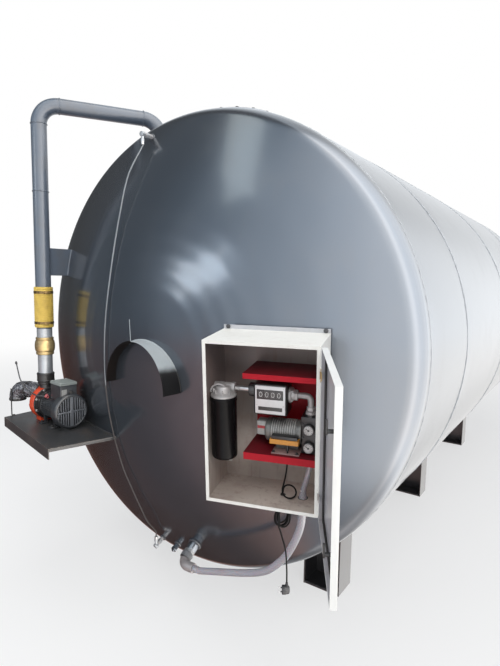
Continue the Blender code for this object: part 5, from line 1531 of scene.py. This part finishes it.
def buildGauge():
    up = Vector((0, 0, 1))
    reach, drop = 0.072, 0.04
    top = onHead(-0.25, 1.125)
    topTip = top - Vector((0, reach, 0))
    low = onHead(-0.194, -1.171)
    lowWay = headNormal(-0.194, -1.171)
    lowTip = low + lowWay * 0.058
    gap = up * seatGap
    upperEnd, lowerEnd = topTip - up * drop - gap, lowTip + up * drop + gap
    straight = up * 0.045
    marksAlong = [(-0.284, 0.9, 0.048), (-0.298, 0.7, 0.028), (-0.308, 0.475, 0.016), (-0.326, 0.21, 0.013),
        (-0.34, -0.01, 0.013), (-0.347, -0.24, 0.014), (-0.338, -0.46, 0.015), (-0.31, -0.683, 0.02), (-0.275,
        -0.809, 0.025), (-0.243, -0.935, 0.03), (-0.22, -1.03, 0.036)]
    route = [upperEnd - straight * 0.45] + [onHead(*p) for p in marksAlong] + [lowerEnd + straight]
    path = [upperEnd] + smoothRoute(route, 0.02) + [lowerEnd]
    tube = bmesh.new()
    turn = next(k for k, p in enumerate(path) if p.z < axisZ - 0.22)
    addTube(tube, path[:turn + 1], lambda k, t: 0.005 - 0.0012 * min(1, k / turn), 20, 0)
    addTube(tube, path[turn:], 0.0037, 20, 2)
    addTube(tube, [path[0] + up * 0.0002, path[0] - up * 0.014], 0.0092, 20, 1)
    addTube(tube, [path[-1] - up * 0.0002, path[-1] + up * 0.014], 0.0092, 20, 1)
    finishPiece("gauge_tube_clear", tube, "gaugeTube brightSteel tubeStained", "gauge_tube")
    for name, base, way, far, side in (("gauge_top_fitting", top, Vector((0, -1, 0)), reach, -1),
            ("gauge_low_fitting", low, lowWay, 0.058, 1)):
        shape = bmesh.new()
        seat = alongAxis(base, way)
        addLathe(shape, [(0, -0.012), (0.0125, -0.012), (0.0125, far - 0.026), (0.011, far - 0.024), (0.011,
            far - 0.008), (0, far - 0.006)], seat, 32)
        addPrism(shape, hexOutline(0.0245), far - 0.04, far - 0.024, seat, 0.0008, 1)
        addPrism(shape, hexOutline(0.0255), far - 0.011, far + 0.0115, seat, 0.001, 1)
        addBead(shape, ringPoints(0.0145, 0.002, 40, seat), 0.0042, 2, True, base.z)
        tail = moved(base + way * far)
        heights = (0, 0.008, 0.0085, 0.026, 0.0265, 0.04)
        radii = (0.01, 0.01, 0.0085, 0.0085, 0.0108, 0.0105)
        addLathe(shape, [(0, 0)] + [(r, side * h) for r, h in zip(radii, heights)] + [(0, side * 0.04)], tail,
            28, 1)
        finishPiece(name + "_threaded", shape, "castMetal galvanised weld", name)


def buildOutlets():
    start, forward, right = outletFrame()
    seat = alongAxis(onHead(outlet["x"], outlet["rise"]), forward)
    far = outlet["reach"]
    stub = bmesh.new()
    addLathe(stub, [(0, -0.02), (0.0295, -0.02), (0.0295, far - 0.02), (0.0282, far - 0.018), (0.0282,
        far - 0.001), (0.027, far), (0, far)], seat, 48)
    for k in range(6):
        height = far - 0.018 + 0.0028 * k
        addLathe(stub, [(0.028, height), (0.0292, height + 0.0006), (0.0292, height + 0.0018), (0.028,
            height + 0.0024)], seat, 48, 2)
    addBead(stub, ringPoints(0.0325, 0.0025, 70, seat), 0.0062, 1, True, 21)
    finishPiece("outlet_stub_threaded", stub, "tank weld brightSteel", "outlet_stub")
    elbow = bmesh.new()
    corner = start + forward * outlet["corner"]
    end = corner + right * outlet["side"]
    path = [start + forward * (0.004 + 0.003 * k) for k in range(4)]
    path += quarterBend(corner, forward, right, 0.045, 16)
    path += [path[-1].lerp(end, k / 8) for k in range(1, 9)]
    addTube(elbow, path, 0.0255, 40, 0)
    nut = alongAxis(start, forward)
    addLathe(elbow, [(0, 0), (0.0295, 0), (0.0295, 0.03), (0.025, 0.034)], nut, 40, 2)
    for k in range(4):
        addLathe(elbow, roundedProfile(0.033 - 0.0004 * k, 0.003 + 0.007 * k, 0.0056 + 0.007 * k, 0.001), nut,
            48, 1)
    tail = alongAxis(end, -right)
    addLathe(elbow, [(0, 0), (0.0255, 0), (0.0258, 0.002), (0.0258, 0.01), (0.024, 0.012)], tail, 40)
    for height in (0.018, 0.026, 0.034):
        addLathe(elbow, [(0.023, height), (0.0256, height + 0.002), (0.023, height + 0.006)], tail, 40)
    finishPiece("outlet_elbow_cast", elbow, "outletMetal coverGrey legPaint", "outlet_elbow")
    drain = bmesh.new()
    drainSeat = alongAxis(onHead(-0.061, -1.161), headNormal(-0.061, -1.161))
    addLathe(drain, [(0, -0.01), (0.015, -0.01), (0.015, 0.03), (0.0155, 0.031), (0, 0.031)], drainSeat, 32)
    addPrism(drain, hexOutline(0.03), 0.0305, 0.042, drainSeat, 0.001)
    addPrism(drain, [(-0.006, -0.006), (0.006, -0.006), (0.006, 0.006), (-0.006, 0.006)], 0.0415, 0.0498,
        drainSeat, 0.001)
    addBead(drain, ringPoints(0.0175, 0.002, 44, drainSeat), 0.0048, 1, True, 33)
    finishPiece("drain_stub_plugged", drain, "tank weld", "drain_stub")


buildHood()
buildGauge()
buildOutlets()
print("head fittings built")


# dispensing cabinet: box, mount, door and latches
def inCabinet(x, y, z):
    return cabinetFrame @ moved((x, y, z))


def buildCabinet():
    dress("cabinet_box", paint["cabinet"], 0.0008)
    dress("cabinet_mount", paint["mountGrey"], 0.0008)
    width, height = cabinet["width"], cabinet["height"]
    trim = bmesh.new()
    # bolts of the mount plate, rubber grommets in the floor
    for x in (0.02, width - 0.02):
        for z in (0.0095, -height - 0.0095):
            addBolt(trim, inCabinet(x, cabinet["depth"] - 0.0002 + 0.0005, z) @ facingFront, 0.013, 0.006)
    for x, y, radius in ((0.295, 0.131, 0.01), (0.38, 0.13, 0.02)):
        addHoop(trim, inCabinet(x, y, -height), radius, 0.001, 40, 0.0019, 10, 1)
    # small white tab low on the left of the back wall
    addBlock(trim, (0.014, 0.236, -0.612), (0.03, 0.2478, -0.578), cabinetFrame, 0.002, 2)
    finishPiece("cabinet_fittings", trim, "motorGrey rubber paperWhite", None)
    hinges = bmesh.new()
    pin = inCabinet(*door["hinge"])
    for slot, level in enumerate(door["hingeHeights"]):
        for low, high in ((level - 0.0255, level - 0.0155), (level + 0.0155, level + 0.0255)):
            addDisc(hinges, (0, 0, low), (0, 0, high), 0.0056, 0.0008, 24, slot, pin)
    finishPiece("hinge_barrels", hinges, "brass brightSteel", None)


def buildDoor():
    dress("cabinet_door", paint["door"], 0.0009)
    left, right, _, outer = doorEdges
    # half-round rubber seal laid in the tray, along its four sides
    back = outer + cabinet["sheet"] + 0.0003
    west, east = left + 0.0205, right - 0.0205
    north, south = -0.0205, 0.0205 - cabinet["height"]
    seal, route = bmesh.new(), []
    for cx, cz, start in ((east - 0.012, north - 0.012, 0), (west + 0.012, north - 0.012, 0.5), (west + 0.012,
            south + 0.012, 1), (east - 0.012, south + 0.012, 1.5)):
        for k in range(9):
            angle = pi * (start + k / 16)
            route.append(doorFrame @ Vector((cx + 0.012 * cos(angle), back + 0.0042, cz + 0.012
                * sin(angle))))
    addTube(seal, route, 0.0042, 14, 0, False, True)
    finishPiece("door_seal_round", seal, "rubber", "door_gasket", "door")
    knuckles = bmesh.new()
    for slot, level in enumerate(door["hingeHeights"]):
        addDisc(knuckles, (0, 0, level - 0.0148), (0, 0, level + 0.0148), 0.0056, 0.0008, 24, slot, doorFrame)
        addBlock(knuckles, (-0.03, -0.0002, level - 0.0145), (-0.002, 0.0008 + 0.0012, level + 0.0145),
            doorFrame, 0.0006, slot)
    finishPiece("door_knuckles", knuckles, "brass brightSteel", None, "door")
    for name, level in zip(("upper", "lower"), door["latchHeights"]):
        latch = bmesh.new()
        at = doorFrame @ moved((left + door["latchInset"], 0, level))
        face = at @ facingFront
        # turned head outside, shaft through the leaf, and a cam inside
        addLathe(latch, [(r, h - outer) for r, h in ((0, 0.0044), (0.0092, 0.0044), (0.0118, 0.0036), (0.013,
            0.0018), (0.013, 0.0003), (0, 0.0003))], face, 40)
        addBlock(latch, (-0.0085, outer - 0.0044, -0.0013), (0.0085, outer - 0.0036, 0.0013), at, 0.0003, 1,
            1)
        near = cabinet["sheet"] + 0.0055 - door["hinge"][1]
        addDisc(latch, (0, outer - 0.0002, 0), (0, near + 0.001, 0), 0.0064, 0.0004, 28, 0, at)
        outline = [(-0.0068, -0.0088), (0.0068, -0.0088), (0.0068, 0.03), (0.0052, 0.0352), (-0.0052, 0.0352),
            (-0.0068, 0.03)]
        addPrism(latch, outline, -near - 0.006, -near, face, 0.0012)
        addPrism(latch, hexOutline(0.0105), -near - 0.0002, -near + 0.0035, face, 0.0006, 1)
        finishPiece(f"door_latch_{name}_cam", latch, "blackPlastic brightSteel", f"door_latch_{name}",
            f"latch_{name}")


buildCabinet()
buildDoor()
print("cabinet built")


# cabinet contents: filter, meter, pump and motor on the red bracket; sizes are in the cabinet's frame
def buildFilter():
    can, head, nipple = bmesh.new(), bmesh.new(), bmesh.new()
    x, y, radius = 0.0585, 0.074, 0.055
    top, low, base = -0.2445, -0.514, inCabinet(x, y, 0)
    line = [(0, low + 0.0005)]
    for t in (pi / 2 * k / 8 for k in range(9)):
        line.append((0.014 + (radius - 0.016) * sin(t) ** 0.9, low + 0.0005 + 0.016 * (1 - cos(t))))
    line += [(radius - 0.0015, low + 0.03), (radius - 0.0015, top - 0.022), (radius - 0.0003, top - 0.018),
        (radius, top - 0.014), (radius, top - 0.003), (radius - 0.002, top), (0, top)]
    addLathe(can, line, base, 72)
    addDisc(can, (0, 0, low), (0, 0, low + 0.012), 0.0105, 0.002, 24, 0, base)
    finishPiece("filter_canister_glossy", can, "canBlack", "filter_canister")
    addLathe(head, [(0, -0.2442), (0.052, -0.2442), (0.053, -0.243), (0.053, -0.2375), (0.0505, -0.235),
        (0.04, -0.231), (0.034, -0.226), (0.0325, -0.208), (0.029, -0.202), (0.015, -0.1995), (0, -0.199)],
        base, 56)
    arc = [(0.04 * cos(a), 0.04 * sin(a)) for a in [pi * k / 16 for k in range(17)]]
    arc += [(0.033 * cos(a), 0.033 * sin(a)) for a in [pi * (16 - k) / 16 for k in range(17)]]
    addPrism(head, arc, -0.018, 0.018, inCabinet(0.044, 0.076, -0.23) @ facingFront, 0.0015)
    for t in turns(8, 0.3):
        addBlock(head, (0.034, -0.0018, -0.236), (0.0445, 0.0018, -0.214), base @ turned(t, "Z"), 0.0015)
    portY, level = 0.095, -0.214
    addDisc(head, (0.0135, portY, level), (0.103, portY, level), 0.0205, 0.003, 40, 0, cabinetFrame)
    addPrism(head, hexOutline(0.042, pi / 6), 0, 0.016, inCabinet(0.0868, portY, level) @ alongX, 0.0015)
    addDisc(head, (0, 0, -0.1975), (0, 0, -0.1905), 0.0095, 0.001, 24, 1, inCabinet(x - 0.012, y + 0.006, 0))
    finishPiece("filter_head_cast", head, "castMetal brightSteel", "filter_head")
    seat = inCabinet(0, portY, level) @ alongX
    line = [(0, 0.1033), (0.0105, 0.1033)]
    for k in range(9):
        line += [(0.0108, 0.1045 + 0.002 * k), (0.0098, 0.1055 + 0.002 * k)]
    addLathe(nipple, line + [(0.0105, 0.124), (0.0105, 0.167), (0, 0.167)], seat, 32)
    addLathe(nipple, [(0, 0.1655), (0.026, 0.1655), (0.0285, 0.168), (0.0285, 0.188), (0.0275, 0.1897), (0,
        0.1897)], seat, 48, 1)
    for k in range(12):
        addBlock(nipple, (0.0265, -0.0022, 0.17), (0.0289, 0.0022, 0.187), seat @ turned(pi / 6 * k, "Z"),
            0.0006, 1, 1)
    finishPiece("filter_nipple_threaded", nipple, "brightSteel blackPlastic", "filter_nipple")


def buildMeter():
    shape = bmesh.new()
    low, high = Vector((0.19, 0.06, -0.305)), Vector((0.326, 0.15, -0.178))
    face = low.y - 0.003
    addBlocks(shape, cabinetFrame, (low, high, 0.01, 0, 4), ((low.x + 0.007, face, low.z + 0.006),
        (high.x - 0.006, low.y + 0.004, high.z - 0.006), 0.004, 1, 3),
        ((low.x + 0.014, face - 0.0003, high.z - 0.061), (high.x - 0.014, face + 0.002, high.z - 0.021),
        0.002))
    # four counter wheels, each showing a nought, and a row of small windows under them
    for k in range(4):
        x, z = low.x + 0.031 + 0.0245 * k, high.z - 0.041
        addBlock(shape, (x - 0.0104, face - 0.0008, z - 0.014), (x + 0.0104, face + 0.002, z + 0.014),
            cabinetFrame, 0.001, 2, 1)
        ring = [cabinetFrame @ Vector((x + 0.006 * cos(a), face - 0.0009, z + 0.0092 * sin(a)))
            for a in turns(24)]
        addTube(shape, ring, 0.0008, 6, 3, False, True)
    addBlock(shape, (low.x + 0.02, face - 0.0004, low.z + 0.02), (high.x - 0.018, face + 0.002,
        low.z + 0.036), cabinetFrame, 0.002)
    for x in (low.x + 0.014, high.x - 0.013):
        for z in (low.z + 0.042, high.z - 0.014):
            addDisc(shape, (x, face + 0.001, z), (x, face - 0.0012, z), 0.0028, 0.0006, 16, 4, cabinetFrame)
    addBlock(shape, (0.222, high.y - 0.01, -0.285), (0.3, 0.2444, -0.205), cabinetFrame, 0.003)
    addDisc(shape, (0.232, 0.105, high.z - 0.001), (0.232, 0.105, high.z + 0.0005), 0.018, 0.0004, 32, 0,
        cabinetFrame)
    finishPiece("flow_meter_faced", shape, "blackPlastic meterFace glossBlack paperWhite brightSteel",
        "flow_meter")


def buildMeterElbow():
    shape = bmesh.new()
    start, corner, end = Vector((0.3263, 0.11, -0.228)), Vector((0.412, 0.11, -0.228)), Vector((0.412, 0.11,
        -0.2997))
    right, down = Vector((1, 0, 0)), Vector((0, 0, -1))
    path = [start + right * (0.006 * k) for k in range(10)] + quarterBend(corner, right, down, 0.02, 14)
    path += [path[-1].lerp(end, k / 6) for k in range(1, 7)]
    addTube(shape, [cabinetFrame @ p for p in path], 0.0125, 28)
    seat, low = inCabinet(*start) @ alongX, inCabinet(*end)
    addLathe(shape, [(0, 0), (0.031, 0), (0.032, 0.001), (0.032, 0.009), (0.031, 0.01), (0.0235, 0.011),
        (0.0225, 0.022), (0, 0.022)], seat, 48)
    addPrism(shape, hexOutline(0.04), 0.021, 0.0335, seat, 0.0015)
    for t in turns(4, 0.5):
        addBolt(shape, seat @ turned(t, "Z") @ moved((0.0262, 0, 0.0095)), 0.0078, 0.004, True, 1)
    addLathe(shape, [(0, 0), (0.0205, 0), (0.021, 0.001), (0.021, 0.01), (0.015, 0.013), (0, 0.014)], low, 40)
    addPrism(shape, hexOutline(0.031), 0.014, 0.03, low, 0.0012)
    finishPiece("meter_elbow_cast", shape, "castMetal brightSteel", "meter_elbow")


deck = -0.4647  # the red bracket's lower plate, which the pump and motor stand on


def buildTransferPump():
    shape = bmesh.new()
    addBlocks(shape, cabinetFrame, ((0.378, 0.092, deck), (0.444, 0.183, -0.318), 0.006, 0, 3),
        ((0.376, 0.087, -0.33), (0.446, 0.185, -0.308), 0.005, 0, 3))
    addDisc(shape, (0.412, 0.11, -0.316), (0.412, 0.11, -0.3), 0.0225, 0.002, 40, 0, cabinetFrame)
    for level in (-0.359, -0.433):
        for near, far, radius, soft, steps, slot in ((0.0965, 0.0765, 0.0235, 0.003, 44, 0), (0.08, 0.075,
                0.019, 0.001, 44, 1)):
            addDisc(shape, (0.409, near, level), (0.409, far, level), radius, soft, steps, slot, cabinetFrame)
        rim = [cabinetFrame @ Vector((0.409 + 0.0185 * cos(a), 0.0752, level + 0.0185 * sin(a)))
            for a in turns(44)]
        addTube(shape, rim, 0.0012, 6, 2, False, True)
        addDisc(shape, (0.409, 0.076, level), (0.409, 0.0742, level), 0.004, 0.0006, 28, 0, cabinetFrame)
        dial = inCabinet(0.409, 0.0746, level) @ facingFront
        addBlock(shape, (-0.0011, 0, -0.0002), (0.0011, 0.014, 0.0006), dial @ turned(0.9, "Z"), 0, 0, 1)
        for t in turns(12):
            addBlock(shape, (0.0125, -0.0005, -0.0002), (0.0165, 0.0005, 0.0004), dial @ turned(t, "Z"), 0, 0,
                1)
    for x in (0.384, 0.438):
        for z in (-0.34, -0.396, -0.455):
            addBolt(shape, inCabinet(x, 0.0925, z) @ facingFront, 0.0085, 0.0045)
    for y in (0.105 + 0.02 * k for k in range(4)):
        addBlock(shape, (0.4435, y, -0.45), (0.4458, y + 0.005, -0.335), cabinetFrame, 0.0008, 0, 1)
    portX, portY = hose["port"]
    addDisc(shape, (portX, portY, -0.4818), (portX, portY, -0.456), hose["radius"], 0.001, 36, 3,
        cabinetFrame)
    finishPiece("transfer_pump_cast", shape, "blackPlastic dialFace castMetal brightSteel", "transfer_pump")


def buildTransferMotor():
    shape = bmesh.new()
    axis = inCabinet(0, 0.14, -0.392) @ alongX
    addLathe(shape, [(0, 0.2225), (0.03, 0.2225), (0.042, 0.225), (0.0475, 0.23), (0.0488, 0.236), (0.0488,
        0.248), (0.0455, 0.249), (0.0455, 0.356), (0.049, 0.357), (0.0498, 0.359), (0.0498, 0.373), (0.0485,
        0.3755), (0, 0.3755)], axis, 64)
    for k in range(11):
        height = 0.2525 + 0.0093 * k
        addLathe(shape, roundedProfile(0.0494, height, height + 0.0042, 0.001, 0.044), axis, 64, 4, True)
    for k in (1, 3, 5, 7):
        addHoop(shape, axis, 0.006 + 0.0038 * k, 0.2226, 40, 0.0009, 6, 1)
    addBlocks(shape, cabinetFrame, ((0.262, 0.0582, deck), (0.3757, 0.19, -0.459), 0.0015, 5),
        ((0.272, 0.106, -0.4595), (0.364, 0.174, -0.43), 0.003), ((0.187, 0.112, -0.413),
        (0.2255, 0.158, -0.352), 0.006, 2, 3), ((0.19, 0.1112, -0.385), (0.222, 0.114, -0.372), 0.001, 3, 1))
    addDisc(shape, (0.1853, 0.135, -0.368), (0.19, 0.135, -0.368), 0.01, 0.001, 24, 1, cabinetFrame)
    for x in (0.27, 0.3655):
        for y in (0.067, 0.18):
            addBolt(shape, inCabinet(x, y, -0.4592), 0.0095, 0.005, True, 1)
    finishPiece("transfer_motor_finned", shape,
        "transferGrey blackPlastic plateGrey redPaint finGrey basePink", "transfer_motor")
    bar = bmesh.new()
    addBlocks(bar, cabinetFrame, ((0.256, 0.0555, -0.4215), (0.3737, 0.0893, -0.402), 0.003, 0, 3),
        ((0.262, 0.06, -0.404), (0.368, 0.0885, -0.3885), 0.002, 1, 2))
    line = [(0, -0.418), (0.0105, -0.42), (0.0105, -0.4265), (0.0085, -0.427)]
    for k in range(6):
        height, radius = -0.4285 - 0.0034 * k, 0.008 - 0.00055 * k
        line += [(radius, height), (radius, height - 0.002), (radius - 0.001, height - 0.0022),
            (radius - 0.001, height - 0.0032)]
    addLathe(bar, line + [(0.0046, -0.4496), (0, -0.4498)], inCabinet(0.327, 0.07, 0), 28, 1)
    finishPiece("switch_bar_moulded", bar, "switchOrange blackPlastic", "switch_bar")


def buildBracketDetails():
    dress("red_bracket", paint["bracket"], 0.0009)
    shape = bmesh.new()
    for x in (0.175, 0.43):
        for z in (-0.16, -0.44):
            addBolt(shape, inCabinet(x, 0.2417, z) @ facingFront, 0.011, 0.006)
    finishPiece("bracket_bolts", shape, "brightSteel", None)


buildFilter()
buildMeter()
buildMeterElbow()
buildTransferPump()
buildTransferMotor()
buildBracketDetails()
print("cabinet contents built")


# floor, light and surroundings
def mixShader(tree, share, first, second):
    return addNode(tree, "ShaderNodeMixShader", {0: share, 1: first, 2: second}).outputs[0]


def buildFloor():
    shape = bmesh.new()
    reach = 60
    shape.faces.new([shape.verts.new((x * reach, y * reach, -0.0005)) for x, y in ((-1, -1), (1, -1), (1, 1),
        (-1, 1))])
    mesh = bpy.data.meshes.new("floor")
    shape.to_mesh(mesh)
    shape.free()
    floor = bpy.data.objects.new("floor", mesh)
    bpy.context.scene.collection.objects.link(floor)
    material, tree, sockets = startMaterial("floorPale", 0.9, 0, 0, 0.1, 0)
    sockets["Base Color"].default_value = (0.8, 0.8, 0.8, 1)
    length = addNode(tree, "ShaderNodeVectorMath", {0: surfacePoint(tree)},
        operation="LENGTH").outputs["Value"]
    lifted = plus(tree, times(tree, rampNode(tree, length, 3.2, 12), 0.4), 0.6)
    seen = times(tree, lifted, addNode(tree, "ShaderNodeLightPath").outputs["Is Camera Ray"])
    glow = addNode(tree, "ShaderNodeEmission", {"Color": (1, 1, 1)}).outputs[0]
    feed(tree, tree.nodes["Material Output"].inputs["Surface"], mixShader(tree, seen,
        tree.nodes["Principled BSDF"].outputs[0], glow))
    mesh.materials.append(material)
    floor.visible_glossy = False


# what the gloss sees round about: bearing in degrees, brightness, and how blue it is
surround = {
    "bearings": ((-180, 1, 0.02), (-145, 1.2, 0.05), (-106, 0.07, 0), (-86, 0.09, 0), (-74, 0.17, 0.15),
                 (-60, 0.14, 0.2), (-48, 0.24, 0.22), (-38, 0.52, 0.18), (-25, 0.72, 0.17), (-9, 1.38, 0.1),
                 (5, 1.75, 0.08), (18, 2.4, 0.05), (36, 3.25, 0), (58, 3.8, -0.02), (85, 5.9, -0.04),
                 (104, 4.6, 0), (126, 4, 0), (156, 2.7, 0.02), (168, 1.65, 0.02), (180, 1, 0.02)),
    "top": 6, "soilLeft": (1.15, 0.6, 0.48), "soilRight": (1, 0.97, 0.94), "deepLeft": (1.05, 0.52, 0.36),
    "deepRight": (0.34, 0.32, 0.31), "diffuse": (0.86, 0.9, 0.96), "strength": 0.45,
}


def buildWorld():
    world = bpy.data.worlds.new("surroundings")
    bpy.context.scene.world = world
    world.use_nodes = True
    tree = world.node_tree
    way = addNode(tree, "ShaderNodeSeparateXYZ", {0: addNode(tree,
        "ShaderNodeTexCoord").outputs["Generated"]}).outputs
    # bearing of a direction: 0 towards the front of the tank, 90 to its right, 180 to its back
    bearing = mathNode(tree, "ARCTAN2", way["X"], times(tree, way["Y"], -1))
    share = plus(tree, mathNode(tree, "DIVIDE", bearing, 2 * pi), 0.5, True)
    curve = addNode(tree, "ShaderNodeValToRGB", {0: share})
    curve.color_ramp.interpolation = "EASE"
    stops = curve.color_ramp.elements
    while len(stops) < len(surround["bearings"]):
        stops.new(0.5)
    for stop, (degrees, value, blue) in zip(stops, surround["bearings"]):
        stop.position = degrees / 360 + 0.5
    for stop, (degrees, value, blue) in zip(stops, surround["bearings"]):
        level = value / surround["top"]
        stop.color = (level * (1 - blue), level, level * (1 + blue), 1)
    ground = rampNode(tree, way["Z"], 0, -0.2)
    leftSide = times(tree, rampNode(tree, share, 0.12, 0.17), rampNode(tree, share, 0.54, 0.44))
    tint = mixColour(tree, leftSide, surround["soilRight"], surround["soilLeft"])
    deep = mixColour(tree, leftSide, surround["deepRight"], surround["deepLeft"])
    tint = mixColour(tree, rampNode(tree, way["Z"], -0.62, -0.9), tint, deep)
    sky = curve.outputs["Color"]
    reflected = mixColour(tree, ground, sky, mixColour(tree, 1, sky, tint, "MULTIPLY"))
    glossy = addNode(tree, "ShaderNodeBackground", {"Strength": surround["top"],
        "Color": reflected}).outputs[0]
    background = tree.nodes["Background"]
    feed(tree, background.inputs["Color"], surround["diffuse"])
    background.inputs["Strength"].default_value = surround["strength"]
    white = addNode(tree, "ShaderNodeBackground", {"Color": (1, 1, 1)}).outputs[0]
    path = addNode(tree, "ShaderNodeLightPath").outputs
    first = mixShader(tree, path["Is Glossy Ray"], background.outputs[0], glossy)
    feed(tree, tree.nodes["World Output"].inputs["Surface"], mixShader(tree, path["Is Camera Ray"], first,
        white))


def addAreaLight(name, position, target, size, power, colour=(1, 1, 1), glossy=False):
    data = bpy.data.lights.new(name, "AREA")
    data.shape = "RECTANGLE"
    data.size, data.size_y = size
    data.energy = power
    data.color = colour
    light = bpy.data.objects.new(name, data)
    bpy.context.scene.collection.objects.link(light)
    way = (target - position).normalized()
    light.matrix_world = moved(position) @ way.to_track_quat("-Z", "Z").to_matrix().to_4x4()
    light.visible_camera = False
    light.visible_glossy = glossy


def buildLights():
    # two lights stand where they show in the head at a point, seen along a way
    for name, point, way, size, power, colour in (("tallSky", (0.39, -0.17, 0.99), (-0.35, -0.48, 0.81), (1.3,
            4.4), 34, (0.95, 1, 0.95)), ("whitePatch", (0.3, -0.36, 0.39), (-0.46, -0.85, 0.27), (2.3, 1.1),
            36, (0.9, 0.96, 1))):
        addAreaLight(name, place(*point) + Vector(way).normalized() * 6, place(*point), size, power, colour,
            True)
    addAreaLight("softKey", place(4.5, -4.5, 4.5), place(0.2, -0.3, -0.3), (4, 4), 330, (1, 0.98, 0.95))
    addAreaLight("softFill", place(-5, -5, 2), place(0, 0, -0.3), (4, 4), 90, (0.9, 0.94, 1))
    addAreaLight("softTop", place(0.5, 0.5, 6.5), place(0.5, 0.5, 0), (6, 6), 210)


buildFloor()
buildWorld()
buildLights()
bpy.context.scene.view_settings.view_transform = "Standard"
print("stage set")
